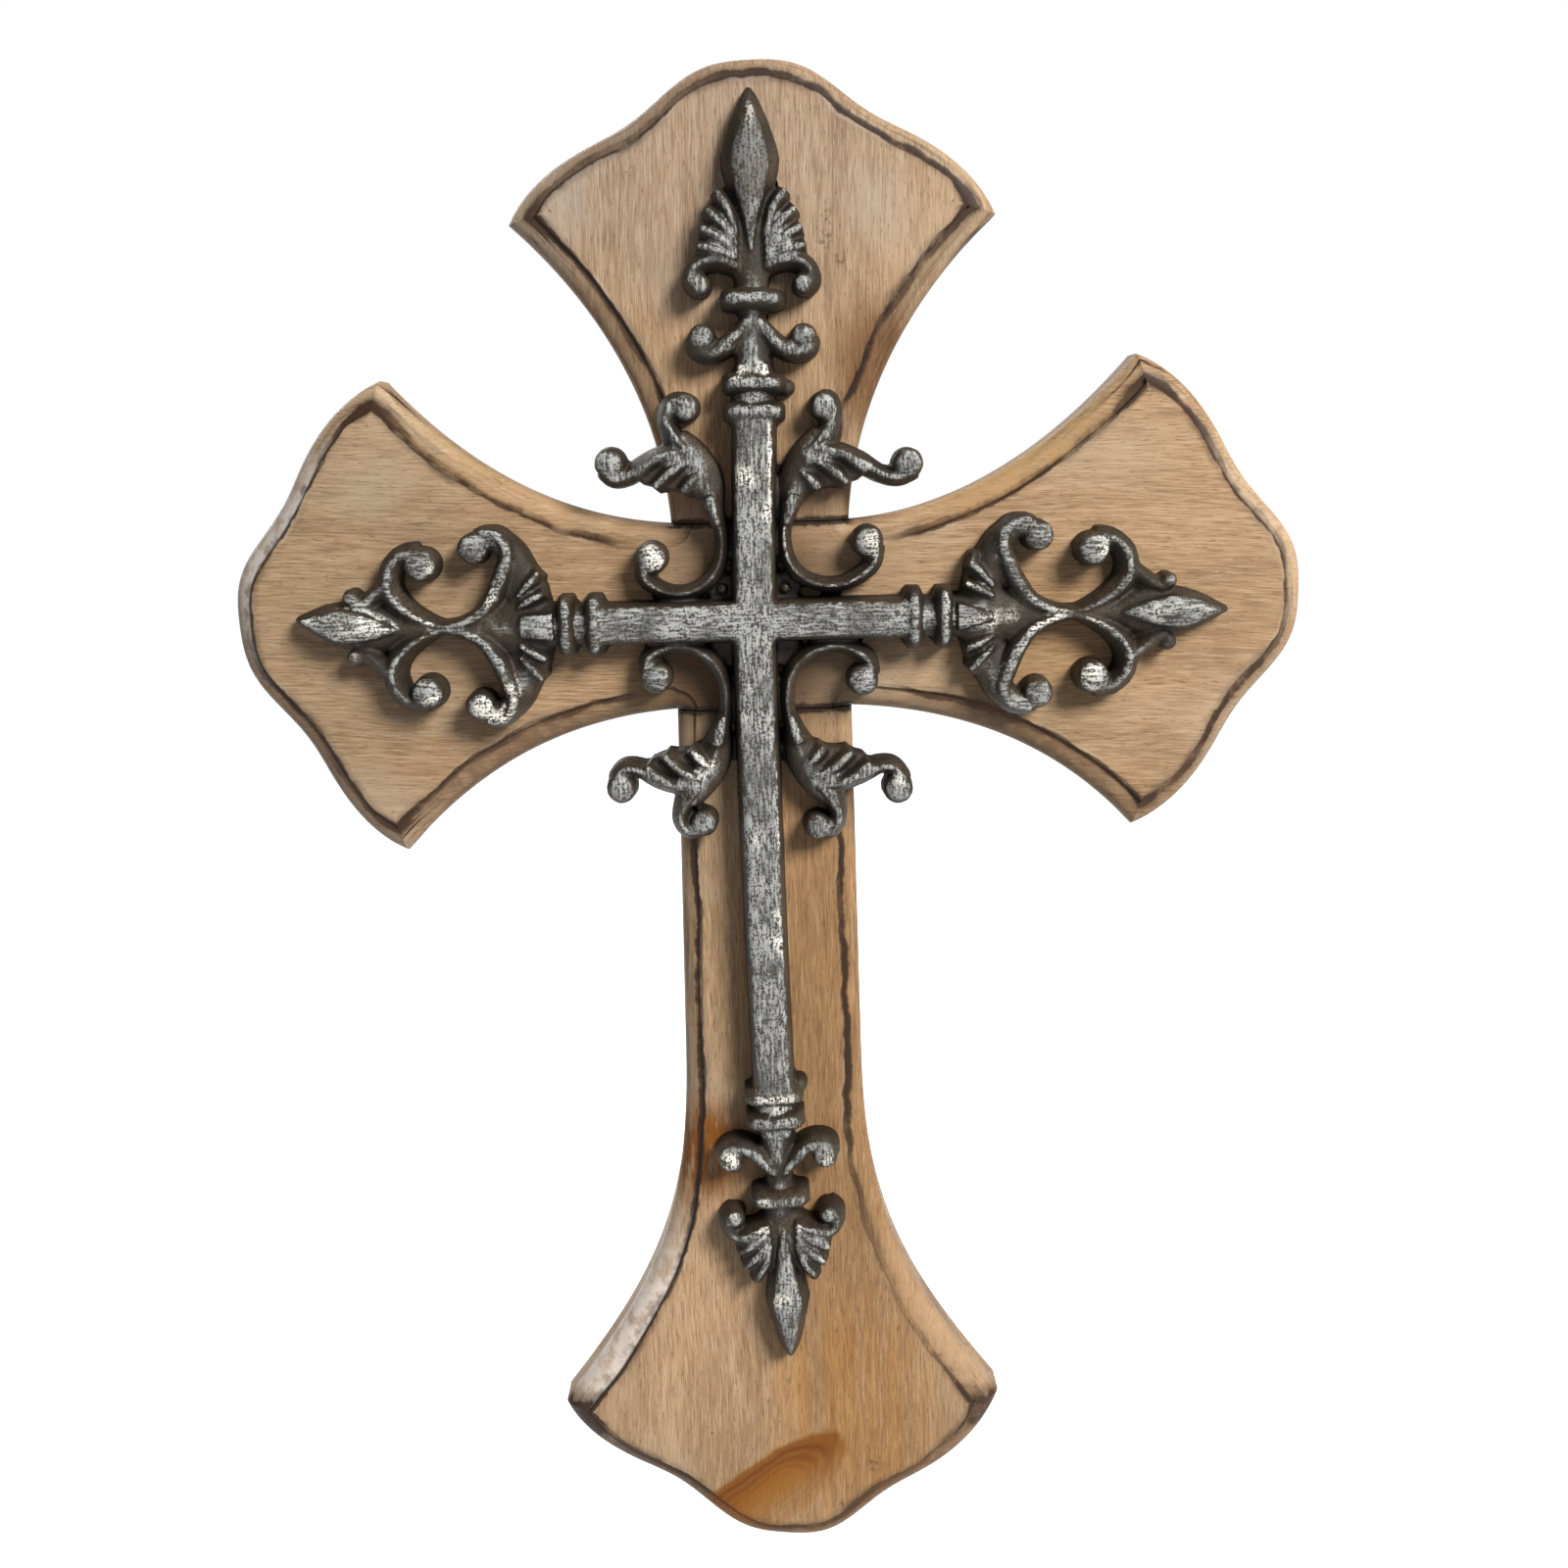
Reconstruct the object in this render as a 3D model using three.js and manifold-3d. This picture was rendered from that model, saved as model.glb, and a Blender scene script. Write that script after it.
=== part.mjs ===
// A wooden wall cross: two half-lapped boards with ogee ends and a routed moulding,
// and one sand-cast iron ornament nailed to their face.
// Millimetres, +Z up. The wall is the plane y = 0, the face looks along -Y, and the
// origin is on the back behind the middle of the crossing.
import * as THREE from 'three';
import { mergeVertices } from 'three/addons/utils/BufferGeometryUtils.js';
import Module from 'manifold-3d';

const wasm = await Module();
wasm.setup();

// The boards
const BOARD_THICKNESS = 16;
const UPRIGHT_NECK = 46.4;
const CROSSBAR_NECK = 48.8;
const TOP_REACH = 138.8;
const FOOT_REACH = 267.2;
const LEFT_REACH = 138.1;
const RIGHT_REACH = 141.7;
const FLARE_WIDTH = 123.6;
const TOP_END_DEPTH = 38.5;
const FOOT_END_DEPTH = 43.3;
const LEFT_END_DEPTH = 40.9;
const RIGHT_END_DEPTH = 43.7;
const FOOT_TAPER_END = 122;
const FOOT_TAPER = 1.1;
const LEFT_DRIFT = 0.8;
const RIGHT_DRIFT = 3.2;
const SEAM_GAP = 0.3;

// The ogee end, as shares of an arm's end depth and half width
const SHOULDER_SHARE = 0.72;
const SHOULDER_ROUND = 0.97;
const CREST_WIDTH = 0.396;
const CREST_POWER = 3.43;

// The stepped round-over
const MOULDING_WIDTH = 6;
const MOULDING_DEPTH = 5.5;
const MOULDING_STEP = 1;

// The iron ornament
const IRON_GAP = 0.3;
const IRON_SHIFT_X = -2;
const IRON_SHIFT_Z = -0.5;
const BAR_WIDTH = 12;
const BAR_HEIGHT = 10.5;
const BAR_FLAT = 8.6;
const TOP_BAR = 52.7;
const FOOT_BAR = 128.1;
const SIDE_BAR = 41;
const TOP_BAR_LEAN = 1.3;
const FOOT_BAR_LEAN = 1.9;
const TOP_FINIAL_TURN = 0.5;
const FOOT_FINIAL_TURN = 2.1;
const RIGHT_FINIAL_STRETCH = 1.055;
const LEFT_TIP_LIFT = 3;
const FOOT_CURL_SLIP = 4;
const COLLAR_WIDTH = 16;
const COLLAR_HEIGHT = 12;
const COLLAR_PITCH = 7;
const WEB_HEIGHT = 2.5;

// The nails
const NAIL_SHANK = 1.6;
const NAIL_HEAD = 3;
const NAIL_HEAD_HEIGHT = 1.4;
const NAIL_DEPTH_SHARE = 0.42;
const NAIL_CLEARANCE = 0.3;
const NAIL_ACROSS = 8.1;
const NAIL_UP = 8.1;

// Smoothness of the faceted curves. An end's first point stands off the corner by END_STAND_OFF of
// the moulding's width, so the mitre there doesn't fold.
const SIDE_STEPS = 8;
const END_STEPS = 16;
const END_STAND_OFF = 0.53;
const ROUND_STEPS = 3;
const CORNER_STEPS = 3;
const BOSS_SIDES = 6;
const NAIL_SIDES = 8;

// Points nearer than this are one point, and a cutting solid reaches this far past what it cuts.
const SAME_POINT = 1e-3;
const OVERCUT = 1;

const FACE = -BOARD_THICKNESS;
const IRON_BACK = FACE - IRON_GAP;
const NAIL_TIP = FACE * (1 - NAIL_DEPTH_SHARE);

// The corner scrolls and nails are drawn for bars this wide, and move outwards with wider ones.
const DRAWN_BAR_WIDTH = 12;
const BAR_SPARE = (BAR_WIDTH - DRAWN_BAR_WIDTH) / 2;

// Turns a closed triangle mesh into a solid, without the triangles that have no area.
function solidOf(vertices, triangles) {
  const raw = new THREE.BufferGeometry();
  raw.setAttribute('position', new THREE.Float32BufferAttribute(vertices.flat(), 3));
  raw.setIndex(triangles.flat());
  const merged = mergeVertices(raw, 1e-4);
  const index = Array.from(merged.index.array);
  const kept = [];
  for (let i = 0; i < index.length; i += 3) {
    const [a, b, c] = index.slice(i, i + 3);
    if (a !== b && b !== c && c !== a) kept.push(a, b, c);
  }
  const mesh = new wasm.Mesh({
    numProp: 3,
    vertProperties: new Float32Array(merged.attributes.position.array),
    triVerts: new Uint32Array(kept),
  });
  return new wasm.Manifold(mesh);
}

function geometryOf(solid) {
  const mesh = solid.getMesh();
  const geometry = new THREE.BufferGeometry();
  geometry.setAttribute('position', new THREE.BufferAttribute(new Float32Array(mesh.vertProperties), 3));
  geometry.setIndex(Array.from(mesh.triVerts));
  return geometry;
}

function solidOfGeometry(geometry) {
  const bare = geometry.clone();
  bare.deleteAttribute('normal');
  bare.deleteAttribute('uv');
  const merged = mergeVertices(bare, 1e-4);
  const points = [];
  const position = merged.attributes.position;
  for (let i = 0; i < position.count; i += 1) {
    points.push([position.getX(i), position.getY(i), position.getZ(i)]);
  }
  const triangles = [];
  for (let i = 0; i < merged.index.count; i += 3) {
    triangles.push([merged.index.getX(i), merged.index.getX(i + 1), merged.index.getX(i + 2)]);
  }
  return solidOf(points, triangles);
}

// Joins loops of equally many points into a closed skin. The two fills close its ends.
function skin(loops, firstFill, lastFill) {
  const count = loops[0].length;
  const triangles = firstFill.map(([a, b, c]) => [a, c, b]);
  for (let k = 0; k + 1 < loops.length; k += 1) {
    for (let i = 0; i < count; i += 1) {
      const j = (i + 1) % count;
      const low = k * count;
      const high = low + count;
      triangles.push([low + i, low + j, high + j], [low + i, high + j, high + i]);
    }
  }
  const last = (loops.length - 1) * count;
  triangles.push(...lastFill.map(([a, b, c]) => [last + a, last + b, last + c]));
  return solidOf(loops.flat(), triangles);
}

// Height of an arm's ogee end over its corners, at a share u of its half width.
function endHeight(u, depth) {
  const flat = Math.sqrt(1 - SHOULDER_ROUND ** 2);
  const shoulder = (Math.sqrt(1 - (SHOULDER_ROUND * u) ** 2) - flat) / (1 - flat);
  const crest = Math.exp(-((Math.abs(u) / CREST_WIDTH) ** CREST_POWER));
  return depth * (SHOULDER_SHARE * shoulder + (1 - SHOULDER_SHARE) * crest);
}

// The flared side of an arm from its neck to its corner, in the arm's own along and across.
function armSide(arm, side) {
  const start = new THREE.Vector2(arm.neckEnd, side * (arm.neck / 2 + arm.taper));
  const end = new THREE.Vector2(arm.reach - arm.depth, side * FLARE_WIDTH / 2 + arm.drift);
  const curve = new THREE.CubicBezierCurve(
    start,
    new THREE.Vector2(start.x + arm.handle, start.y + side * arm.handle * Math.sin(arm.startAngle)),
    new THREE.Vector2(
      end.x - arm.handle * Math.cos(arm.flareAngle),
      end.y - side * arm.handle * Math.sin(arm.flareAngle),
    ),
    end,
  );
  return curve.getPoints(SIDE_STEPS);
}

// One arm's outline, from its right neck corner round its end to its left one.
function armOutline(arm) {
  const right = armSide(arm, -1);
  const left = armSide(arm, 1).reverse();
  const end = [];
  const first = Math.acos(1 - END_STAND_OFF * MOULDING_WIDTH / (FLARE_WIDTH / 2)) / Math.PI;
  for (let i = 0; i <= END_STEPS; i += 1) {
    const u = -Math.cos(Math.PI * (first + (1 - 2 * first) * i / END_STEPS));
    const along = arm.reach - arm.depth + endHeight(u, arm.depth) + arm.skew * u * (1 - u ** 2);
    end.push(new THREE.Vector2(along, u * FLARE_WIDTH / 2 + arm.drift));
  }
  return [...right, ...end, ...left].map((p) => arm.place(p.x, p.y));
}

// The arms in anticlockwise order. taper widens an arm up to where its flare starts, drift moves its
// end sideways and skew leans the ogee to one side, as on the hand-cut boards.
const shortArm = { taper: 0, handle: 30, startAngle: 0.06, flareAngle: THREE.MathUtils.degToRad(48) };
const ARMS = [
  {
    ...shortArm, neck: CROSSBAR_NECK, neckEnd: UPRIGHT_NECK / 2, reach: RIGHT_REACH,
    depth: RIGHT_END_DEPTH, drift: RIGHT_DRIFT, skew: 0, place: (along, across) => [along, across],
  },
  {
    ...shortArm, neck: UPRIGHT_NECK, neckEnd: CROSSBAR_NECK / 2, reach: TOP_REACH,
    depth: TOP_END_DEPTH, drift: 0, skew: -2, place: (along, across) => [-across, along],
  },
  {
    ...shortArm, neck: CROSSBAR_NECK, neckEnd: UPRIGHT_NECK / 2, reach: LEFT_REACH,
    depth: LEFT_END_DEPTH, drift: -LEFT_DRIFT, skew: -3, place: (along, across) => [-along, -across],
  },
  {
    neck: UPRIGHT_NECK, neckEnd: FOOT_TAPER_END, taper: FOOT_TAPER, handle: 45, startAngle: 0.02,
    flareAngle: THREE.MathUtils.degToRad(38), reach: FOOT_REACH,
    depth: FOOT_END_DEPTH, drift: 0, skew: 6, place: (along, across) => [across, -along],
  },
];

// The inner corners between the arms, anticlockwise, each reached after the arm of the same number.
const innerCorners = [[1, 1], [-1, 1], [-1, -1], [1, -1]].map(
  ([right, up]) => [right * UPRIGHT_NECK / 2, up * CROSSBAR_NECK / 2],
);

const apart = (p, q) => Math.hypot(q[0] - p[0], q[1] - p[1]);

// The cross's outline. Each inner corner stands in it CORNER_STEPS times, with its share of the turn.
function wholeOutline() {
  const outline = [];
  ARMS.forEach((arm, i) => {
    const points = armOutline(arm);
    outline.push(...points.filter((p) => innerCorners.every((corner) => apart(corner, p) > SAME_POINT)));
    for (let k = 0; k < CORNER_STEPS; k += 1) outline.push([...innerCorners[i], k / (CORNER_STEPS - 1)]);
  });
  return outline;
}

// The point's inward normals, mitred at a sharp corner and fanned at an inner one.
function inwardNormals(outline) {
  const distinct = (i, step) => {
    let j = i;
    do j = (j + step + outline.length) % outline.length;
    while (apart(outline[i], outline[j]) < SAME_POINT);
    return outline[j];
  };
  return outline.map((p, i) => {
    const before = distinct(i, -1);
    const after = distinct(i, 1);
    const inTurn = Math.atan2(p[1] - before[1], p[0] - before[0]) + Math.PI / 2;
    const outTurn = Math.atan2(after[1] - p[1], after[0] - p[0]) + Math.PI / 2;
    const turn = Math.atan2(Math.sin(outTurn - inTurn), Math.cos(outTurn - inTurn));
    if (p.length === 3) return [Math.cos(inTurn + turn * p[2]), Math.sin(inTurn + turn * p[2])];
    const reach = 1 / Math.cos(turn / 2);
    return [reach * Math.cos(inTurn + turn / 2), reach * Math.sin(inTurn + turn / 2)];
  });
}

// The whole moulded cross as one solid, before it is parted into its boards.
function mouldedCross() {
  const outline = wholeOutline();
  const normals = inwardNormals(outline);
  const ring = (inset, y) => outline.map(
    (p, i) => [p[0] + inset * normals[i][0], y, p[1] + inset * normals[i][1]],
  );
  const loops = [ring(0, 0), ring(0, FACE + MOULDING_DEPTH)];
  for (let k = 1; k <= ROUND_STEPS; k += 1) {
    const angle = Math.PI / 2 * k / ROUND_STEPS;
    const inset = MOULDING_WIDTH * (1 - Math.cos(angle));
    loops.push(ring(inset, FACE + MOULDING_DEPTH - (MOULDING_DEPTH - MOULDING_STEP) * Math.sin(angle)));
  }
  loops.push(ring(MOULDING_WIDTH, FACE));
  return skin(loops, flatFill(loops[0]), flatFill(loops[loops.length - 1]));
}

// Fills a flat loop that may pass through a point more than once.
function flatFill(loop) {
  const flat = loop.map(([x, , z]) => [x, z]);
  const leadsOn = (i) => apart(flat[i], flat[(i + 1) % flat.length]) > SAME_POINT;
  const used = flat.map((p, i) => i).filter(leadsOn);
  const fill = THREE.ShapeUtils.triangulateShape(used.map((i) => new THREE.Vector2(...flat[i])), []);
  return fill.map((corners) => corners.map((corner) => used[corner]));
}

// A flat prism between two depths, from an outline of [x, z] points.
function prism(outline, fromY, toY) {
  const shape = new THREE.Shape(outline.map(([x, z]) => new THREE.Vector2(x, z)));
  const geometry = new THREE.ExtrudeGeometry(shape, { depth: toY - fromY, bevelEnabled: false });
  geometry.rotateX(Math.PI / 2);
  geometry.translate(0, toY, 0);
  return solidOfGeometry(geometry);
}

// The ground that belongs to the upright: its arms, bounded by lines out of the inner corners.
function uprightGround(inset) {
  const points = [];
  const far = 2 * Math.max(TOP_REACH, FOOT_REACH);
  for (const side of [1, -1]) {
    const armReach = side > 0 ? TOP_REACH - TOP_END_DEPTH : FOOT_REACH - FOOT_END_DEPTH;
    const gapX = (FLARE_WIDTH / 2 + RIGHT_REACH - RIGHT_END_DEPTH) / 2;
    const gapZ = (armReach + FLARE_WIDTH / 2) / 2;
    const neckX = UPRIGHT_NECK / 2;
    const neckZ = CROSSBAR_NECK / 2 + inset;
    points.push([
      [neckX, neckZ * side], [gapX, (gapZ + inset) * side], [gapX, far * side],
      [-gapX, far * side], [-gapX, (gapZ + inset) * side], [-neckX, neckZ * side],
    ]);
  }
  return points;
}

// The two boards, parted along the seams and halved into each other where they cross.
function boards() {
  const cross = mouldedCross();
  const lap = (spareX) => {
    const x = UPRIGHT_NECK / 2 + spareX;
    const z = CROSSBAR_NECK / 2 + SEAM_GAP;
    return [[-x, -z], [x, -z], [x, z], [-x, z]];
  };
  const middle = FACE / 2;
  let upright = prism(lap(0), middle + SEAM_GAP / 2, OVERCUT);
  for (const ground of uprightGround(SEAM_GAP / 2)) {
    upright = upright.add(prism(ground, FACE - OVERCUT, OVERCUT));
  }
  let cut = prism(lap(SEAM_GAP), middle - SEAM_GAP / 2, 2 * OVERCUT);
  for (const ground of uprightGround(-SEAM_GAP / 2)) {
    cut = cut.add(prism(ground, FACE - 2 * OVERCUT, 2 * OVERCUT));
  }
  return { upright: cross.intersect(upright), crossbar: cross.subtract(cut) };
}

// Sections of the casting's bars, ridges and leaves: half width and height shares, from left to right.
const BAR_SECTION = [
  [-1, 0], [-0.93, 0.78], [-BAR_FLAT / BAR_WIDTH, 1], [BAR_FLAT / BAR_WIDTH, 1], [0.93, 0.78], [1, 0],
];
const RIDGE_SECTION = [[-1, 0], [-0.5, 1], [0.5, 1], [1, 0]];
const LEAF_SECTION = [[-1, 0], [-0.8, 0.8], [0, 1], [0.8, 0.8], [1, 0]];

// The strokes are made this much deeper and cut off flat together.
const SPARE_BACK = 3;

// A cast stroke along points of [x, z, half width, height], with the section raised off the wood.
function stroke(points, section, steps) {
  const line = new THREE.CatmullRomCurve3(points.map(([x, z]) => new THREE.Vector3(x, 0, z)));
  const size = new THREE.CatmullRomCurve3(points.map((p) => new THREE.Vector3(p[2], p[3], 0)));
  const loops = [];
  for (let i = 0; i <= steps; i += 1) {
    const t = i / steps;
    const centre = line.getPoint(t);
    const tangent = line.getTangent(t);
    const { x: half, y: height } = size.getPoint(t);
    loops.push(section.map(([across, up]) => [
      centre.x + tangent.z * across * half,
      up > 0 ? IRON_BACK - up * height : IRON_BACK + SPARE_BACK,
      centre.z - tangent.x * across * half,
    ]));
  }
  const fan = section.slice(2).map((p, i) => [0, i + 1, i + 2]);
  return skin(loops, fan, fan);
}

// A round boss with drafted sides and a domed top.
function boss(x, z, radius, height) {
  const profile = [[0, -height], [radius * 0.9, -height * 0.7], [radius, SPARE_BACK], [0, SPARE_BACK]];
  return turnedAlongY(profile, BOSS_SIDES).translate([x, IRON_BACK, z]);
}

// Points of [along, across, half width, height], moved by place or handed over to a side.
const mapped = (place, points) => points.map(([u, v, half, height]) => [...place(u, v), half, height]);
const onSide = (side, points) => points.map(([u, v, ...rest]) => [u, side * v, ...rest]);

// The four bars, bowed as the casting is.
const topBarX = (z) => TOP_BAR_LEAN * z / TOP_BAR;
const footBarX = (z) => FOOT_BAR_LEAN * (z / FOOT_BAR) ** 2;

function bars() {
  const half = BAR_WIDTH / 2;
  const steps = 4;
  const vertical = [];
  for (let i = 0; i <= steps; i += 1) {
    const z = -FOOT_BAR * (1 - i / steps);
    vertical.push([footBarX(z), z, half, BAR_HEIGHT]);
  }
  vertical.push([topBarX(TOP_BAR), TOP_BAR, half, BAR_HEIGHT]);
  const across = [[-SIDE_BAR, 0, half * 0.95, BAR_HEIGHT], [SIDE_BAR, 0, half * 0.95, BAR_HEIGHT]];
  return [stroke(vertical, BAR_SECTION, steps + 1), stroke(across, BAR_SECTION, 1)];
}

// A collar across a bar: a short thick ridge at a right angle to it.
function collar(place, along, half) {
  const points = [-1 / 2, -1 / 4, 1 / 4, 1 / 2].map((share) => {
    const fall = Math.abs(share) > 0.3 ? 0.75 : 1;
    return [along, share * COLLAR_WIDTH, half * fall, COLLAR_HEIGHT * fall];
  });
  return stroke(mapped(place, points), RIDGE_SECTION, 3);
}

// The leaf finial of the top and the foot. Along is measured from its first collar.
// slip moves the upper collar and the curls under the fan outwards.
function leafFinial(place, slip) {
  const parts = [0, COLLAR_PITCH, 27.4 + slip / 2].map((along) => collar(place, along, 2.4));
  const neck = [[-3, 0, 5.4, 9.5], [12, 0, 4.8, 8.5], [22, 0, 3.6, 8.5], [36, 0, 5.5, 8]];
  parts.push(stroke(mapped(place, neck), LEAF_SECTION, 3));
  for (const side of [-1, 1]) {
    const scroll = [
      [22.4, 1.6, 2, 8.5], [19.2, 3.8, 2.6, 8.5], [16, 7.2, 2.8, 8], [14.7, 10.8, 2.8, 8],
      [15.6, 14.2, 2.7, 8], [18.4, 14.6, 2.4, 8],
    ];
    parts.push(stroke(mapped(place, onSide(side, scroll)), RIDGE_SECTION, 5));
    parts.push(boss(...place(18.4, side * 12.8), 3.5, 8.8));
    const curl = [
      [35.2, 3.4, 2.4, 8], [37, 9, 2.6, 8.5], [35.6, 13.6, 2.6, 8.5], [32, 15.2, 2.5, 8.5],
      [29.6, 13, 2.4, 8],
    ].map(([u, ...rest]) => [u + slip, ...rest]);
    parts.push(stroke(mapped(place, onSide(side, curl)), RIDGE_SECTION, 4));
    parts.push(boss(...place(31 + slip, side * 12.8), 2.8, 8.6));
    const fan = [[53.3, 9, 42], [49, 11.9, 40.5], [44.6, 13.2, 38.8], [40.3, 14.8, 37.4]];
    for (const [tipAlong, tipAcross, rootAlong] of fan) {
      const lobe = [
        [rootAlong, 2.4, 1.7, 8], [(rootAlong + tipAlong) / 2 + 0.6, tipAcross * 0.62, 2.1, 7.6],
        [tipAlong, tipAcross, 1.7, 6],
      ];
      parts.push(stroke(mapped(place, onSide(side, lobe)), RIDGE_SECTION, 2));
    }
  }
  const spear = [
    [38, 0, 2.4, 7.6], [46, 0, 3.4, 8], [55, 0, 6.4, 8.8], [62, 0, 7.7, 9], [69, 0, 5.9, 8.6],
    [75, 0, 2.7, 7], [78, 0, 0.5, 5],
  ];
  parts.push(stroke(mapped(place, spear), LEAF_SECTION, 7));
  return parts;
}

// The scroll finial of the left and right ends. Along is measured from the middle of the crossing.
// lift bends the spear's tip upwards.
function scrollFinial(place, lift) {
  const parts = [collar(place, SIDE_BAR, 2.2), collar(place, SIDE_BAR + COLLAR_PITCH, 2)];
  const waist = [
    [SIDE_BAR - 3, 0, 5.4, 9.5], [57, 0, 6.4, 9.5], [66, 0, 5, 9], [73, 0, 3.2, 8.5], [79, 0, 2.4, 8],
    [86, 0, 3.2, 8.2], [93, 0, 5.4, 8.5], [103, lift * 0.2, 6.6, 9], [110, lift * 0.6, 5, 8.4],
    [118.3, lift, 0.5, 5],
  ];
  parts.push(stroke(mapped(place, waist), LEAF_SECTION, 8));
  for (const side of [-1, 1]) {
    const crescent = [
      [56, 2, 3.4, 7.5], [59, 8, 5, 8.5], [61, 14, 4.8, 9], [63, 19.6, 3.8, 9],
      [66.8, 23, 2.9, 8.8], [71.4, 22.6, 2.7, 8.5],
    ];
    const innerRidge = [
      [78, 0.6, 1.8, 7.5], [72.4, 3, 2, 8], [68.8, 7.6, 2.3, 8.8], [66.4, 13, 2.4, 9.2], [65, 18, 2.2, 9.2],
    ];
    const frontScroll = [
      [84, 1.6, 2.6, 8], [89.6, 5.2, 3.2, 8.6], [93.2, 9.6, 3.4, 9], [93, 14.8, 3.3, 9],
      [89.8, 18.6, 3.1, 9], [85.6, 19.2, 2.8, 9],
    ];
    const lobes = [
      [[66, 17.5], [64, 13], [62.6, 8.5]], [[66.8, 11], [65.6, 7.5], [64, 4.5]],
      [[55.6, 14.6], [58, 11], [60.6, 8]],
    ];
    parts.push(stroke(mapped(place, onSide(side, crescent)), LEAF_SECTION, 4));
    parts.push(stroke(mapped(place, onSide(side, innerRidge)), RIDGE_SECTION, 4));
    parts.push(stroke(mapped(place, onSide(side, frontScroll)), RIDGE_SECTION, 5));
    for (const lobe of lobes) {
      const [tip, middle, root] = onSide(side, lobe);
      const points = [[...tip, 1.5, 8.6], [...middle, 1.7, 9.6], [...root, 1.2, 8.8]];
      parts.push(stroke(mapped(place, points), RIDGE_SECTION, 2));
    }
    parts.push(boss(...place(71.6, side * 20.2), 4.6, 9.6));
    parts.push(boss(...place(84.6, side * 16.4), 5, 10));
    parts.push(boss(...place(103.2, side * 7.8 + lift * 0.2), 2.8, 7.4));
  }
  return parts;
}

// Bends a stroke so that it still ends at its ball, which sits a little differently in each corner.
function bentTo(points, nominal, actual) {
  return points.map(([u, v, half, height], i) => {
    const share = (i / (points.length - 1)) ** 2;
    return [u + share * (actual[0] - nominal[0]), v + share * (actual[1] - nominal[1]), half, height];
  });
}

// One of the four openwork corner scrolls. Across and up are measured from the middle of the crossing.
function cornerScroll(place, { curlBall, tipBall, hookBall }) {
  const curl = bentTo([
    [10.9, 34, 2.8, 8.4], [9.2, 28.6, 2.4, 8], [7.9, 22.8, 2.2, 8], [8.2, 16.8, 2.2, 8],
    [10.4, 11.8, 2.2, 8], [14.4, 8.6, 2.2, 8], [19.4, 7.4, 2.2, 8], [24.2, 8.4, 2.4, 8],
    [28, 11.4, 2.7, 8.4], [28.6, 15.4, 2.6, 8.6],
  ], [26.4, 16.8], curlBall);
  const body = [[9.6, 29, 2.6, 8], [12.4, 35.6, 4.4, 9], [16.4, 42, 4.6, 9.5], [19.4, 47, 3.2, 9]];
  const hook = bentTo([
    [19.4, 46, 3, 9], [21, 51.6, 2.6, 8.6], [19.2, 55.4, 2.6, 8.6], [16, 55, 2.4, 8.4],
  ], [16.4, 53.4], hookBall);
  const tip = bentTo([
    [14, 39.6, 3.4, 9], [20.6, 42, 3.8, 9], [26.6, 40.4, 3.2, 9], [31.6, 37.6, 2.6, 8.6],
    [35.6, 37.2, 2.4, 8.6], [38.6, 39.6, 2.2, 8.6],
  ], [36.8, 41.6], tipBall);
  const lobes = [
    [[13, 38], [20, 39.4], [28, 35.8]], [[11.6, 35.6], [16.4, 37], [20.8, 35.4]],
    [[9, 31], [11, 32.4], [12.8, 31.6]],
  ];
  const parts = [
    stroke(mapped(place, curl), RIDGE_SECTION, 8), stroke(mapped(place, body), LEAF_SECTION, 3),
    stroke(mapped(place, hook), RIDGE_SECTION, 3), stroke(mapped(place, tip), RIDGE_SECTION, 4),
  ];
  for (const [root, middle, end] of lobes) {
    const points = [[...root, 1.8, 8.6], [...middle, 2.2, 8.8], [...end, 1.5, 7.4]];
    parts.push(stroke(mapped(place, points), RIDGE_SECTION, 2));
  }
  parts.push(boss(...place(...curlBall), 4.3, 9), boss(...place(...tipBall), 4.2, 9.4));
  parts.push(boss(...place(...hookBall), 3.8, 9));
  return parts;
}

// The thin web in a pocket between the bars and a corner scroll.
function pocketWeb(place) {
  const inner = DRAWN_BAR_WIDTH / 2 - 1;
  const pocket = [[inner, inner], [16, inner], [14, 8.6], [10, 12], [8, 17], [inner, 20]];
  return prism(pocket.map(([u, v]) => place(u, v)), IRON_BACK - WEB_HEIGHT, IRON_BACK + SPARE_BACK);
}

const turnedPlace = (originX, originZ, alongX, alongZ) => (u, v) => [
  originX + alongX * u - alongZ * v, originZ + alongZ * u + alongX * v,
];
const topTurn = THREE.MathUtils.degToRad(90 - TOP_FINIAL_TURN);
const footTurn = THREE.MathUtils.degToRad(-90 + FOOT_FINIAL_TURN);
const topPlace = turnedPlace(topBarX(TOP_BAR), TOP_BAR, Math.cos(topTurn), Math.sin(topTurn));
const footPlace = turnedPlace(footBarX(FOOT_BAR), -FOOT_BAR, Math.cos(footTurn), Math.sin(footTurn));

// The corner scrolls differ a little: where each one's three balls sit, across and up.
const CORNERS = [
  { side: -1, up: 1, curlBall: [25.9, 16.8], tipBall: [35.5, 40.8], hookBall: [16.1, 54.2] },
  { side: 1, up: 1, curlBall: [29.5, 19.7], tipBall: [40, 39], hookBall: [18.9, 53.9] },
  { side: -1, up: -1, curlBall: [25.8, 14.1], tipBall: [35.9, 42.9], hookBall: [14.6, 52.6] },
  { side: 1, up: -1, curlBall: [27.7, 16], tipBall: [36.5, 44.7], hookBall: [15.2, 54.2] },
];

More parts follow.
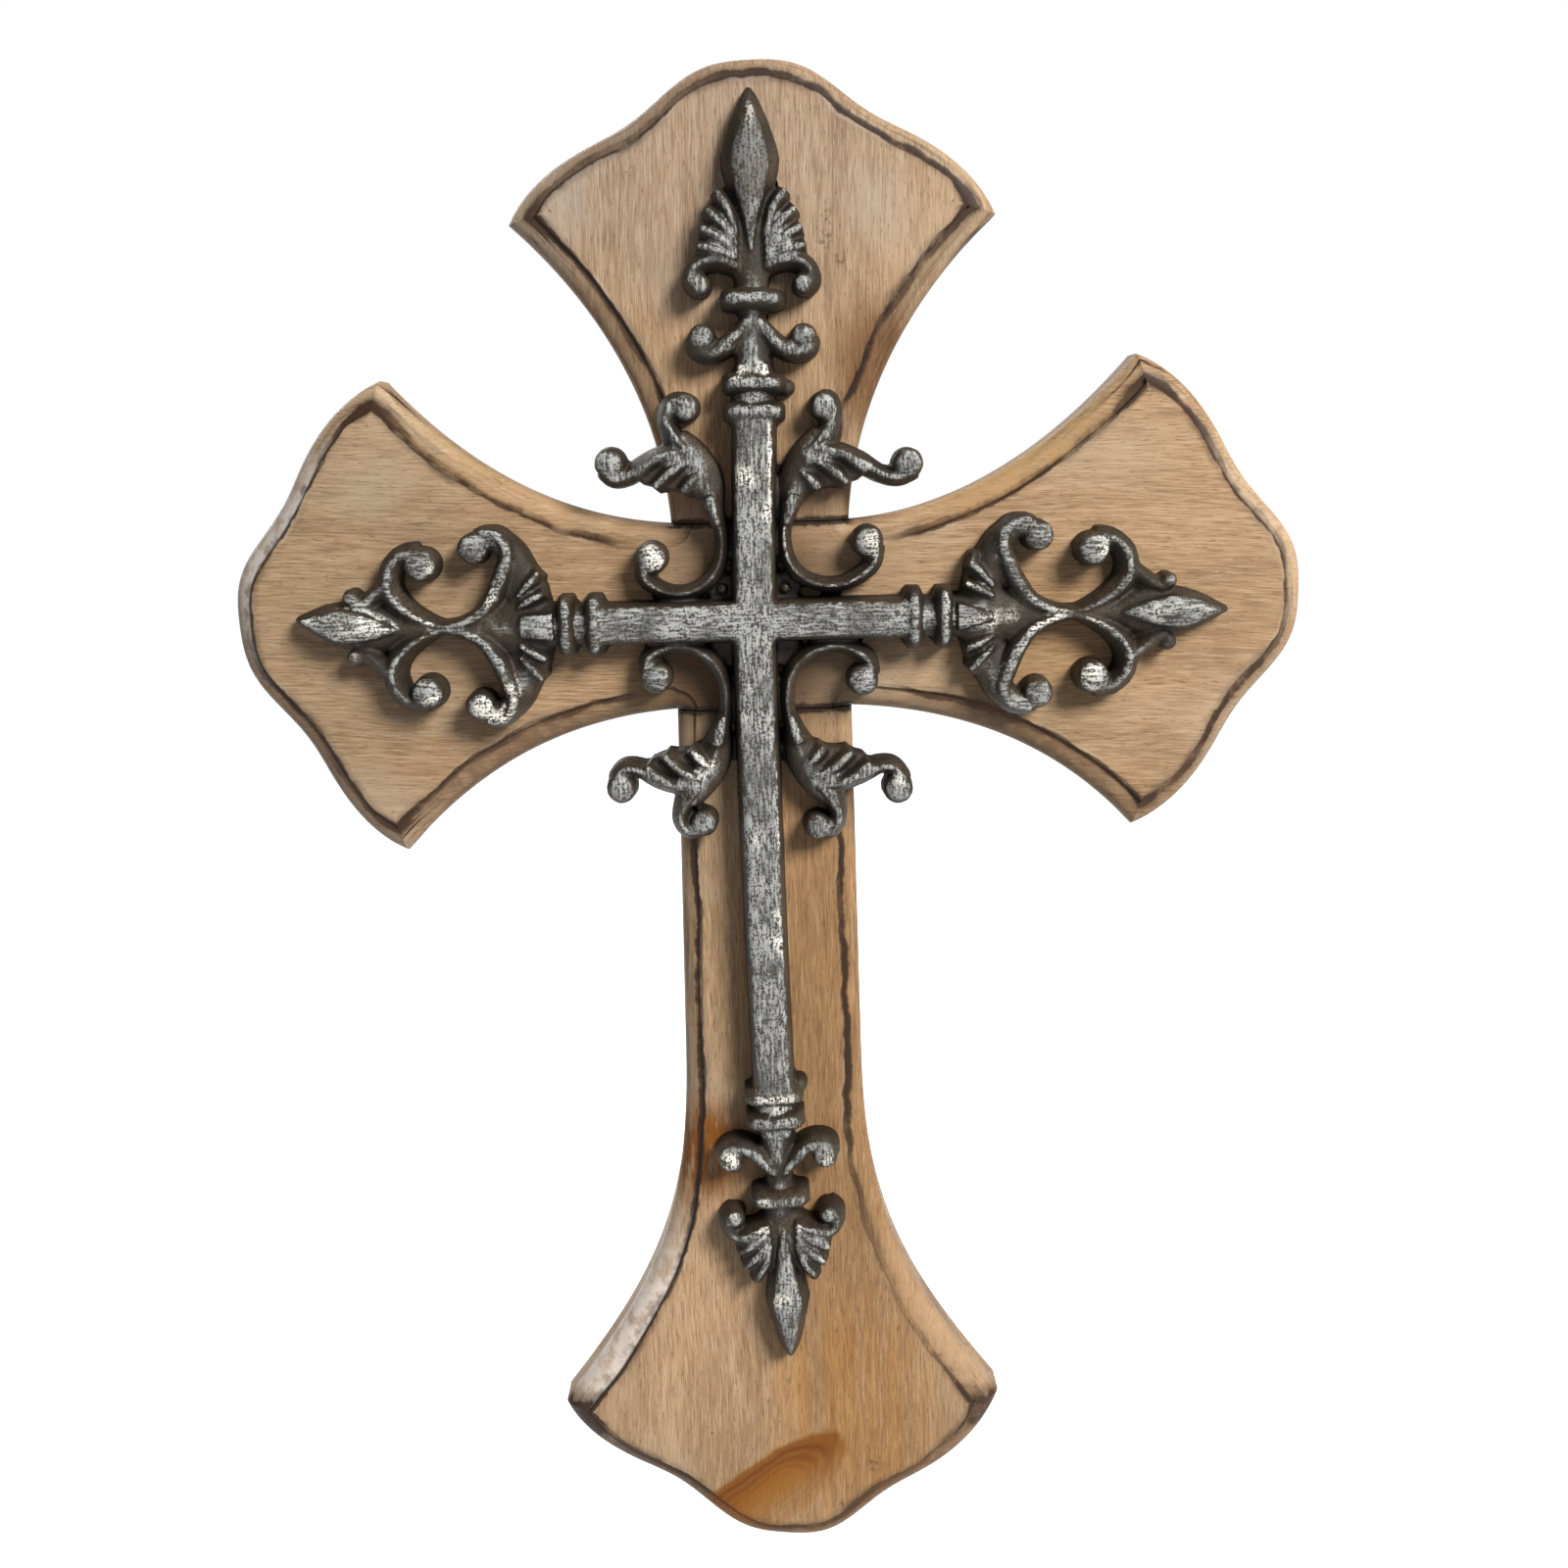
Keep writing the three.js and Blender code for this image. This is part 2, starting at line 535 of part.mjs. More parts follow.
function ornament() {
  const leftPlace = (u, v) => [-u, v];
  const rightPlace = (u, v) => [SIDE_BAR + (u - SIDE_BAR) * RIGHT_FINIAL_STRETCH, v];
  const pieces = [
    ...bars(), ...leafFinial(topPlace, 0), ...leafFinial(footPlace, FOOT_CURL_SLIP),
    ...scrollFinial(leftPlace, LEFT_TIP_LIFT), ...scrollFinial(rightPlace, 0),
  ];
  for (const corner of CORNERS) {
    const { side, up } = corner;
    const place = (u, v) => [side * (u + BAR_SPARE), up * (v + BAR_SPARE)];
    pieces.push(...cornerScroll(place, corner), pocketWeb(place));
  }
  let whole = pieces[0];
  for (const piece of pieces.slice(1)) whole = whole.add(piece);
  const reach = TOP_REACH + FOOT_REACH;
  const around = [[-reach, -reach], [reach, -reach], [reach, reach], [-reach, reach]];
  const behind = prism(around, IRON_BACK, IRON_BACK + 2 * SPARE_BACK);
  return whole.subtract(behind).translate([IRON_SHIFT_X, 0, IRON_SHIFT_Z]);
}

// Turned about the nail's own axis, with the point into the wood.
function turnedAlongY(profile, sides) {
  const lathe = new THREE.LatheGeometry(profile.map(([r, h]) => new THREE.Vector2(r, h)), sides);
  return solidOfGeometry(lathe);
}

const nailSides = { nail_left: -1, nail_right: 1 };

// Stands a turned solid where the nail of that side goes.
function atNail(side, solid) {
  const across = NAIL_ACROSS + BAR_SPARE;
  const up = NAIL_UP + BAR_SPARE;
  return solid.translate([IRON_SHIFT_X + side * across, 0, IRON_SHIFT_Z + up]);
}

function nail(side) {
  const seat = IRON_BACK - WEB_HEIGHT - NAIL_CLEARANCE;
  const shank = NAIL_SHANK / 2;
  const head = NAIL_HEAD / 2;
  const profile = [
    [0, seat - NAIL_HEAD_HEIGHT], [head * 0.7, seat - NAIL_HEAD_HEIGHT * 0.75],
    [head, seat - NAIL_HEAD_HEIGHT * 0.2], [head * 0.9, seat],
    [shank, seat], [shank, NAIL_TIP - NAIL_SHANK], [0, NAIL_TIP],
  ];
  return atNail(side, turnedAlongY(profile, NAIL_SIDES));
}

function nailHole(side) {
  const mouth = IRON_BACK - WEB_HEIGHT - OVERCUT;
  const radius = NAIL_SHANK / 2 + NAIL_CLEARANCE;
  const profile = [
    [0, mouth], [radius, mouth], [radius, NAIL_TIP - NAIL_SHANK + NAIL_CLEARANCE],
    [0, NAIL_TIP + 2 * NAIL_CLEARANCE],
  ];
  return atNail(side, turnedAlongY(profile, NAIL_SIDES));
}

const wood = new THREE.MeshStandardMaterial({ color: 0xb89a78, roughness: 0.75, metalness: 0 });
const iron = new THREE.MeshStandardMaterial({ color: 0x6f6a60, roughness: 0.6, metalness: 0.6 });
const darkIron = new THREE.MeshStandardMaterial({ color: 0x2c2722, roughness: 0.7, metalness: 0.5 });

const cross = new THREE.Group();

function addPiece(name, solid, material) {
  const mesh = new THREE.Mesh(geometryOf(solid), material);
  mesh.name = name;
  cross.add(mesh);
}

let { upright, crossbar } = boards();
let casting = ornament();
for (const side of Object.values(nailSides)) {
  crossbar = crossbar.subtract(nailHole(side));
  casting = casting.subtract(nailHole(side));
}
addPiece('upright_board', upright, wood);
addPiece('crossbar_board', crossbar, wood);
addPiece('iron_ornament', casting, iron);
for (const [name, side] of Object.entries(nailSides)) addPiece(name, nail(side), darkIron);

export default cross;
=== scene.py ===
import math

import bmesh
import bpy
import numpy as np
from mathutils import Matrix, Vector, noise


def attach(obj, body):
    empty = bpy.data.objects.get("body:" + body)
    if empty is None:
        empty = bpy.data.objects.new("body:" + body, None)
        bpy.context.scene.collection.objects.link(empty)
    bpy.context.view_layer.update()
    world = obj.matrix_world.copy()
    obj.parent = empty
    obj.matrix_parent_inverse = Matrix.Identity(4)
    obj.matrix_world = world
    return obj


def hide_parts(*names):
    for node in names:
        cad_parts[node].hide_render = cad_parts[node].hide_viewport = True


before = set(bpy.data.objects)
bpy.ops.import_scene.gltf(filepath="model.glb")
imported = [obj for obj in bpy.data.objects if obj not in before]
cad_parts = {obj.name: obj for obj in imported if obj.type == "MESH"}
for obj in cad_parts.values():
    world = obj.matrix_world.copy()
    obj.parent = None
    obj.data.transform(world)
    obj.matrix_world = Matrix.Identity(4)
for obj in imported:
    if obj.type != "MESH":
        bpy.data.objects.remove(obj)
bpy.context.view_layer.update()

studio = bpy.context.scene

# The camera stands where the photograph's stood: in front, a little above the crossing and tilted
# down, as the perspective of the boards and of the casting on them shows.
camera = bpy.data.objects.new("camera", bpy.data.cameras.new("camera"))
camera.data.sensor_width = 36
camera.data.lens = 40.05
camera.location = (0.0032, -0.4724, 0.0386)
camera.rotation_euler = (math.radians(79.667), math.radians(1.366), math.radians(-0.429))
studio.collection.objects.link(camera)
studio.camera = camera

# The two boards are light wood, halved into each other at the crossing. Their arms flare to sawn
# ogee ends, and a router has run a quarter round with a small step along every edge.
MM = 0.001
BOARD_FACE = -16
UPRIGHT_NECK = 46.4
CROSSBAR_NECK = 48.8
FLARE_WIDTH = 123.6
SIDE_STEPS = 44
END_STEPS = 110
SHOULDER_ROUND = 0.97
SHOULDER_SHARE = 0.72
CREST_SHARE = 0.28
CREST_WIDTH = 0.396
CREST_POWER = 3.43
STEM_END = 122
STEM_POINTS = 40
MOULDING_DEPTH = 5.5
MOULDING_STEP = 1
SIDE_MOULDING = 6
END_MOULDING = 4.6
CORNER_MOULDING = 5.4
MITRE_REACH = 16
SEAM_GAP = 0.3
PAST_WOOD = 1


def arm_side(arm, side, steps):
    """The flared side of an arm, from its neck to its corner, as points along and across the arm."""
    x0, y0 = arm["neck_end"], side * (arm["neck"] / 2 + arm["taper"])
    x3, y3 = arm["reach"] - arm["depth"], side * FLARE_WIDTH / 2 + arm["drift"]
    handle, start, flare = arm["handle"], arm["start_angle"], math.radians(arm["flare"])
    x1, y1 = x0 + handle, y0 + side * handle * math.sin(start)
    x2, y2 = x3 - handle * math.cos(flare), y3 - side * handle * math.sin(flare)
    points = []
    for i in range(steps + 1):
        t = i / steps
        a, b, c, d = (1 - t) ** 3, 3 * t * (1 - t) ** 2, 3 * t * t * (1 - t), t ** 3
        points.append((a * x0 + b * x1 + c * x2 + d * x3, a * y0 + b * y1 + c * y2 + d * y3))
    return points


def arm_end(arm, steps):
    """The ogee end of an arm: a round shoulder from each corner, and a crest in the middle."""
    flat = math.sqrt(1 - SHOULDER_ROUND ** 2)
    points = []
    for i in range(steps + 1):
        u = -math.cos(math.pi * i / steps)
        shoulder = (math.sqrt(1 - (SHOULDER_ROUND * u) ** 2) - flat) / (1 - flat)
        crest = math.exp(-((abs(u) / CREST_WIDTH) ** CREST_POWER))
        rise = arm["depth"] * (SHOULDER_SHARE * shoulder + CREST_SHARE * crest)
        rise += arm["skew"] * u * (1 - u * u)
        points.append((arm["reach"] - arm["depth"] + rise, u * FLARE_WIDTH / 2 + arm["drift"]))
    return points


short_arm = {"taper": 0, "handle": 30, "start_angle": 0.06, "flare": 48}
upright_arm = {**short_arm, "neck": UPRIGHT_NECK, "neck_end": CROSSBAR_NECK / 2}
crossbar_arm = {**short_arm, "neck": CROSSBAR_NECK, "neck_end": UPRIGHT_NECK / 2}
arms = [
    {**crossbar_arm, "reach": 141.7, "depth": 43.7, "drift": 3.2, "skew": 0, "turn": (1, 0)},
    {**upright_arm, "reach": 138.7, "depth": 38.5, "drift": 0, "skew": -2, "turn": (0, 1)},
    {**crossbar_arm, "reach": 137.9, "depth": 40.9, "drift": -0.8, "skew": -3, "turn": (-1, 0)},
    {**upright_arm, "neck_end": STEM_END, "taper": 1.1, "handle": 45, "start_angle": 0.02, "flare": 38,
     "reach": 266.8, "depth": 43.3, "drift": 0, "skew": 6, "turn": (0, -1)},
]
inner_corners = [(1, 1), (-1, 1), (-1, -1), (1, -1)]
outer_corners = [(61.8, 100.3), (61.8, 223.9), (97.6, 62)]


def unit(x, z):
    length = math.hypot(x, z)
    return x / length, z / length


def inward(before, after):
    """The direction into the wood at a point between two others of the anticlockwise outline."""
    dx, dz = unit(after[0] - before[0], after[1] - before[1])
    return -dz, dx


def moulded_outline():
    """Points (x, z) with their inward direction, the moulding's width there and the near corner."""
    outline = []
    for arm, corner in zip(arms, inner_corners):
        along_x, along_z = arm["turn"]
        runs = [arm_side(arm, -1, SIDE_STEPS), arm_end(arm, END_STEPS), arm_side(arm, 1, SIDE_STEPS)[::-1]]
        runs = [[(x * along_x - y * along_z, x * along_z + y * along_x) for x, y in run] for run in runs]
        is_foot = arm["neck_end"] == STEM_END
        if is_foot:
            half, top = UPRIGHT_NECK / 2, -CROSSBAR_NECK / 2
            stem = [(half + arm["taper"] * i / STEM_POINTS, top - (STEM_END + top) * i / STEM_POINTS)
                    for i in range(STEM_POINTS)]
            runs[0] = [(-x, z) for x, z in stem] + runs[0]
            runs[2] = runs[2] + stem[::-1]
        corners = [runs[1][0], runs[1][-1]]
        mitres = []
        for run, after in ((runs[0], runs[1]), (runs[1], runs[2])):
            n1, n2 = inward(run[-2], run[-1]), inward(after[0], after[1])
            mx, mz = unit(n1[0] + n2[0], n1[1] + n2[1])
            reach = 1 / (mx * n1[0] + mz * n1[1])
            mitres.append((mx * reach, mz * reach))
        for which, run in enumerate(runs):
            kept = range(len(run)) if which != 1 else range(1, len(run) - 1)
            for i in kept:
                x, z = run[i]
                nx, nz = inward(run[max(i - 1, 0)], run[min(i + 1, len(run) - 1)])
                gaps = [math.hypot(x - c[0], z - c[1]) for c in corners]
                corner_gap = min(gaps)
                nearest = gaps.index(corner_gap)
                if corner_gap < 1e-6:
                    nx, nz = mitres[nearest]
                width = SIDE_MOULDING
                if which == 1:
                    width = END_MOULDING + 1.4 * max(0, 1 - corner_gap / 14)
                elif is_foot:
                    width = END_MOULDING + 1.8 * min(1, max(0, (-z - 110) / 70))
                wobble = noise.noise(Vector((x * 0.06, z * 0.06, 3)))
                bevel = (corners[nearest], mitres[nearest]) if corner_gap < MITRE_REACH else None
                outline.append((x, z, nx, nz, width * (1 + 0.12 * wobble), bevel))
        cx, cz = corner[0] * UPRIGHT_NECK / 2, corner[1] * CROSSBAR_NECK / 2
        if arm["turn"][1] == 0:
            first, second = (0, -corner[1]), (-corner[0], 0)
        else:
            first, second = (-corner[0], 0), (0, -corner[1])
        for k in range(1, 10):
            angle = math.pi / 2 * k / 10
            nx = first[0] * math.cos(angle) + second[0] * math.sin(angle)
            nz = first[1] * math.cos(angle) + second[1] * math.sin(angle)
            outline.append((cx, cz, nx, nz, CORNER_MOULDING, None))
    return outline


def inset_point(point, inset):
    """Moves an outline point into the wood, but not past the mitre of the corner beside it."""
    x, z, nx, nz, width, bevel = point
    px, pz = x + nx * inset, z + nz * inset
    if bevel:
        (cx, cz), (mx, mz) = bevel
        before = mx * (z - cz) - mz * (x - cx)
        after = mx * (pz - cz) - mz * (px - cx)
        if before * after < 0 or abs(before) < 1e-9:
            return cx + mx * inset, cz + mz * inset
    return px, pz


outline = moulded_outline()
ROUND_STEPS = 12
levels = [(0, 0.5, 0), (0, 0, -0.5), (0, 0, -4), (0, 0, -8), (0, 0, BOARD_FACE + MOULDING_DEPTH)]
for k in range(1, ROUND_STEPS + 1):
    angle = math.pi / 2 * k / ROUND_STEPS
    drop = (MOULDING_DEPTH - MOULDING_STEP) * math.sin(angle)
    levels.append((1 - math.cos(angle), 0, BOARD_FACE + MOULDING_DEPTH - drop))
levels += [(1, 0.1, BOARD_FACE + 0.25), (1, 0.35, BOARD_FACE), (1, 1.6, BOARD_FACE), (1, 4.5, BOARD_FACE)]

shell = bmesh.new()
edge_uv = shell.loops.layers.uv.new("edge")
rings = []
for share, extra, y in levels:
    ring = []
    for point in outline:
        x, z = inset_point(point, share * point[4] + extra)
        ring.append(shell.verts.new((x * MM, y * MM, z * MM)))
    rings.append(ring)
for low, high, level, next_level in zip(rings, rings[1:], levels, levels[1:]):
    for i in range(len(outline)):
        j = (i + 1) % len(outline)
        face = shell.faces.new((low[i], low[j], high[j], high[i]))
        corners = [(i, level), (j, level), (j, next_level), (i, next_level)]
        for loop, (which, (share, extra, y)) in zip(face.loops, corners):
            loop[edge_uv].uv = ((share - 1) * outline[which][4] + extra, y - BOARD_FACE)
field = shell.faces.new(rings[-1])
for loop in field.loops:
    loop[edge_uv].uv = (4.5, 0)
back = shell.faces.new(rings[0][::-1])
for loop in back.loops:
    loop[edge_uv].uv = (-6, 16)
bmesh.ops.remove_doubles(shell, verts=shell.verts, dist=2e-6)
bmesh.ops.triangulate(shell, faces=[f for f in shell.faces if len(f.verts) > 4])
bmesh.ops.recalc_face_normals(shell, faces=shell.faces)
whole_cross = bpy.data.meshes.new("whole_cross")
shell.to_mesh(whole_cross)
shell.free()


def cutting_block(outlines, from_y, to_y):
    """A solid of prisms over outlines of (x, z), used to cut a board and then removed."""
    block = bmesh.new()
    for points in outlines:
        front = [block.verts.new((x * MM, from_y * MM, z * MM)) for x, z in points]
        rear = [block.verts.new((x * MM, to_y * MM, z * MM)) for x, z in points]
        block.faces.new(front)
        block.faces.new(rear[::-1])
        for i in range(len(points)):
            j = (i + 1) % len(points)
            block.faces.new((front[j], front[i], rear[i], rear[j]))
    bmesh.ops.recalc_face_normals(block, faces=block.faces)
    mesh = bpy.data.meshes.new("cutting_block")
    block.to_mesh(mesh)
    block.free()
    cutter = bpy.data.objects.new("cutting_block", mesh)
    studio.collection.objects.link(cutter)
    return cutter


def upright_ground(spare, joined):
    """Outlines of the ground that belongs to the upright, grown by spare at the seams."""
    x, z = UPRIGHT_NECK / 2, CROSSBAR_NECK / 2 - spare
    top = [(x, z), (80, 80), (80, 300), (-80, 300), (-80, 80), (-x, z)]
    foot = [(-x, -z), (-80, -141), (-80, -300), (80, -300), (80, -141), (x, -z)]
    return [top + foot] if joined else [top, foot]


def cut_board(name, cuts):
    """Cuts the whole moulded cross by (cutter, operation) pairs into one board."""
    board = bpy.data.objects.new(name, whole_cross.copy())
    studio.collection.objects.link(board)
    for cutter, operation in cuts:
        cut = board.modifiers.new("cut", "BOOLEAN")
        cut.operation = operation
        cut.solver = "EXACT"
        cut.object = cutter
    bpy.context.view_layer.update()
    evaluated = board.evaluated_get(bpy.context.evaluated_depsgraph_get())
    shaped = bpy.data.meshes.new_from_object(evaluated)
    board.modifiers.clear()
    board.data = shaped
    shaped.name = name
    shaped.shade_smooth()
    shaped.set_sharp_from_angle(angle=math.radians(32))
    for cutter, operation in cuts:
        bpy.data.objects.remove(cutter)
    return board


lap = [(-30, -CROSSBAR_NECK / 2 - SEAM_GAP / 2), (30, -CROSSBAR_NECK / 2 - SEAM_GAP / 2),
       (30, CROSSBAR_NECK / 2 + SEAM_GAP / 2), (-30, CROSSBAR_NECK / 2 + SEAM_GAP / 2)]
half_x = UPRIGHT_NECK / 2 + SEAM_GAP
half_z = CROSSBAR_NECK / 2 + SEAM_GAP
notch = [(-half_x, -half_z), (half_x, -half_z), (half_x, half_z), (-half_x, half_z)]
upright = cut_board("upright", [
    (cutting_block(upright_ground(-SEAM_GAP / 2, True), BOARD_FACE - PAST_WOOD, PAST_WOOD), "INTERSECT"),
    (cutting_block([lap], BOARD_FACE - PAST_WOOD, BOARD_FACE / 2 + SEAM_GAP / 2), "DIFFERENCE"),
])
crossbar = cut_board("crossbar", [
    (cutting_block(upright_ground(SEAM_GAP / 2, False), BOARD_FACE - PAST_WOOD, PAST_WOOD), "DIFFERENCE"),
    (cutting_block([notch], BOARD_FACE / 2 - SEAM_GAP / 2, PAST_WOOD), "DIFFERENCE"),
])


def group_of(name, inputs, outputs):
    """A new shader node group with its named sockets. Returns the tree, its input and output nodes."""
    tree = bpy.data.node_groups.new(name, "ShaderNodeTree")
    for socket, kind, value in inputs:
        made = tree.interface.new_socket(socket, in_out="INPUT", socket_type=kind)
        if value is not None:
            made.default_value = value
    for socket, kind in outputs:
        tree.interface.new_socket(socket, in_out="OUTPUT", socket_type=kind)
    return tree, tree.nodes.new("NodeGroupInput"), tree.nodes.new("NodeGroupOutput")


def node(tree, kind, settings=None, **inputs):
    """Adds a node. settings are its properties; inputs are values or sockets, by name or _number."""
    made = tree.nodes.new(kind)
    for key, value in (settings or {}).items():
        setattr(made, key, value)
    for key, value in inputs.items():
        socket = made.inputs[int(key[1:])] if key[0] == "_" else made.inputs[key.replace("_", " ")]
        if isinstance(value, bpy.types.NodeSocket):
            tree.links.new(value, socket)
        else:
            socket.default_value = value
    return made


def maths(tree, operation, a, b=0.0, c=0.0):
    return node(tree, "ShaderNodeMath", {"operation": operation}, _0=a, _1=b, _2=c).outputs[0]


def ramp(tree, value, low, high, to_low=0.0, to_high=1.0):
    """Turns a value from between low and high smoothly into one between to_low and to_high."""
    made = node(tree, "ShaderNodeMapRange", {"interpolation_type": "SMOOTHSTEP"}, Value=value)
    for socket, number in (("From Min", low), ("From Max", high), ("To Min", to_low), ("To Max", to_high)):
        made.inputs[socket].default_value = number
    return made.outputs["Result"]


def blend(tree, share, first, second, way="MIX"):
    """Mixes two colours by a share."""
    made = tree.nodes.new("ShaderNodeMix")
    made.data_type = "RGBA"
    made.blend_type = way
    for index, value in ((0, share), (6, first), (7, second)):
        if isinstance(value, bpy.types.NodeSocket):
            tree.links.new(value, made.inputs[index])
        else:
            made.inputs[index].default_value = value
    return made.outputs[2]


def clouds(tree, vector, scale, detail=3.0, roughness=0.55, distortion=0.0):
    made = node(tree, "ShaderNodeTexNoise", Vector=vector, Scale=scale, Detail=detail)
    made.inputs["Roughness"].default_value = roughness
    made.inputs["Distortion"].default_value = distortion
    return made.outputs["Fac"]


def stretched(tree, vector, scale):
    return node(tree, "ShaderNodeMapping", Vector=vector, Scale=scale).outputs["Vector"]


def build_wood_group():
    """Light waxed wood whose grain runs along Z, with the dark glaze that sits in the moulding."""
    tree, given, result = group_of("light wood with glaze", [
        ("Vector", "NodeSocketVector", None),
        ("From Step", "NodeSocketFloat", 4.0),
        ("Below Face", "NodeSocketFloat", 0.0),
        ("Light Wood", "NodeSocketColor", (0.405, 0.253, 0.135, 1)),
        ("Streak", "NodeSocketColor", (0.215, 0.128, 0.065, 1)),
        ("Glaze", "NodeSocketColor", (0.035, 0.017, 0.008, 1)),
        ("Glaze Amount", "NodeSocketFloat", 1.0),
    ], [("Color", "NodeSocketColor"), ("Roughness", "NodeSocketFloat"), ("Height", "NodeSocketFloat")])
    place = given.outputs["Vector"]
    bend = clouds(tree, place, 11.0, 2.0)
    bent = node(tree, "ShaderNodeVectorMath", {"operation": "MULTIPLY_ADD"}, _0=bend, _1=(0.006, 0.0, 0.0),
                _2=place).outputs[0]
    broad = clouds(tree, stretched(tree, bent, (75, 40, 13)), 1.0, 4.0, 0.5, 0.3)
    streaks = clouds(tree, stretched(tree, bent, (640, 200, 30)), 1.0, 5.0, 0.66)
    fine = clouds(tree, stretched(tree, bent, (2400, 700, 130)), 1.0, 3.0, 0.65)
    pores = clouds(tree, stretched(tree, bent, (2600, 1200, 330)), 1.0, 2.0, 0.5)
    pore_mask = ramp(tree, pores, 0.62, 0.7)
    patches = clouds(tree, stretched(tree, place, (16, 16, 11)), 1.0, 3.0, 0.55)
    colour = blend(tree, ramp(tree, broad, 0.38, 0.68), given.outputs["Light Wood"], (0.32, 0.195, 0.1, 1))
    colour = blend(tree, ramp(tree, streaks, 0.47, 0.72, 0, 0.55), colour, given.outputs["Streak"])
    colour = blend(tree, ramp(tree, streaks, 0.47, 0.28, 0, 0.5), colour, (0.5, 0.37, 0.23, 1))
    colour = blend(tree, ramp(tree, fine, 0.5, 0.68, 0, 0.8), colour, given.outputs["Streak"])
    colour = blend(tree, ramp(tree, fine, 0.5, 0.34, 0, 0.4), colour, (0.58, 0.44, 0.28, 1))
    colour = blend(tree, ramp(tree, patches, 0.46, 0.66, 0, 0.5), colour, (0.45, 0.352, 0.245, 1))
    colour = blend(tree, maths(tree, "MULTIPLY", pore_mask, 0.5), colour, (0.13, 0.075, 0.04, 1))
    step = given.outputs["From Step"]
    uneven = clouds(tree, place, 75.0, 4.0, 0.65)
    patchy = ramp(tree, clouds(tree, place, 26.0, 3.0, 0.6), 0.4, 0.64)
    fuzzy = maths(tree, "MULTIPLY_ADD", maths(tree, "SUBTRACT", uneven, 0.5), 4.0, step)
    tight = maths(tree, "SUBTRACT", fuzzy, maths(tree, "MULTIPLY_ADD", patchy, -0.8, 0.3))
    line = maths(tree, "MULTIPLY", ramp(tree, tight, -1.9, -0.8), ramp(tree, fuzzy, 1.2, 0.4))
    spread = maths(tree, "MULTIPLY", ramp(tree, fuzzy, -4.2, -0.5), ramp(tree, fuzzy, 2.6, 0.4))
    soft = maths(tree, "MULTIPLY", spread, maths(tree, "MULTIPLY_ADD", patchy, 0.55, 0.12))
    places = node(tree, "ShaderNodeSeparateXYZ", _0=place)
    along = node(tree, "ShaderNodeCombineXYZ", _0=maths(tree, "MULTIPLY", step, 0.9),
                 _1=maths(tree, "MULTIPLY", places.outputs["X"], 38.0),
                 _2=maths(tree, "MULTIPLY", places.outputs["Z"], 38.0)).outputs[0]
    wiped = maths(tree, "MULTIPLY", ramp(tree, step, 0.0, -0.8),
                  ramp(tree, clouds(tree, along, 1.0, 4.0, 0.6), 0.5, 0.66))
    soft = maths(tree, "MAXIMUM", soft, maths(tree, "MULTIPLY", wiped, 0.5))
    depth = given.outputs["Below Face"]
    low_wall = maths(tree, "MULTIPLY", ramp(tree, depth, 4.2, 6.5, 0, 0.3), ramp(tree, uneven, 0.35, 0.6))
    glaze = maths(tree, "MAXIMUM", maths(tree, "MULTIPLY", line, ramp(tree, uneven, 0.3, 0.5, 0.6, 1.0)), soft)
    glaze = maths(tree, "MAXIMUM", maths(tree, "MULTIPLY", glaze, given.outputs["Glaze Amount"]), low_wall)
    # A lighter band on the face just inside the step: wear, and partly a painted highlight on the step's edge.
    wear_and_highlight = maths(tree, "MULTIPLY", ramp(tree, fuzzy, 0.1, 0.7), ramp(tree, fuzzy, 2.0, 0.9))
    wear_and_highlight = maths(tree, "MULTIPLY", wear_and_highlight, ramp(tree, clouds(tree, place, 48.0, 3.0), 0.46, 0.62, 0, 0.55))
    colour = blend(tree, wear_and_highlight, colour, (0.6, 0.45, 0.3, 1))
    colour = blend(tree, glaze, colour, given.outputs["Glaze"])
    height = maths(tree, "ADD", maths(tree, "MULTIPLY", streaks, 0.35), maths(tree, "MULTIPLY", fine, 0.3))
    height = maths(tree, "SUBTRACT", height, maths(tree, "MULTIPLY", pore_mask, 0.5))
    rough = maths(tree, "MULTIPLY_ADD", streaks, 0.22, 0.44)
    tree.links.new(colour, result.inputs["Color"])
    tree.links.new(rough, result.inputs["Roughness"])
    tree.links.new(height, result.inputs["Height"])
    return tree


wood_group = build_wood_group()


def build_spot_group():
    """A soft spot on the face: 1 at its middle, falling to 0 at its reach along X and Z."""
    tree, given, result = group_of("soft spot", [
        ("Vector", "NodeSocketVector", None), ("Middle", "NodeSocketVector", None),
        ("Reach", "NodeSocketVector", (0.01, 0.01, 0.01))], [("Mask", "NodeSocketFloat")])
    centred = node(tree, "ShaderNodeVectorMath", {"operation": "SUBTRACT"}, _0=given.outputs["Vector"],
                   _1=given.outputs["Middle"]).outputs[0]
    flat = node(tree, "ShaderNodeVectorMath", {"operation": "MULTIPLY"}, _0=centred, _1=(1, 0, 1)).outputs[0]
    scaled = node(tree, "ShaderNodeVectorMath", {"operation": "DIVIDE"}, _0=flat,
                  _1=given.outputs["Reach"]).outputs[0]
    far = node(tree, "ShaderNodeVectorMath", {"operation": "LENGTH"}, _0=scaled).outputs["Value"]
    tree.links.new(ramp(tree, far, 1.0, 0.35), result.inputs["Mask"])
    return tree


spot_group = build_spot_group()


def grouped(tree, group, **inputs):
    """Places a node group in a material and feeds its named inputs."""
    made = tree.nodes.new("ShaderNodeGroup")
    made.node_tree = group
    for key, value in inputs.items():
        socket = made.inputs[key.replace("_", " ")]
        if isinstance(value, bpy.types.NodeSocket):
            tree.links.new(value, socket)
        else:
            socket.default_value = value
    return made


def near(tree, place, x, z, reach_x, reach_z):
    """The soft spot's mask, with its middle and reach in millimetres."""
    return grouped(tree, spot_group, Vector=place, Middle=(x * MM, 0, z * MM),
                   Reach=(reach_x * MM, 1, reach_z * MM)).outputs["Mask"]


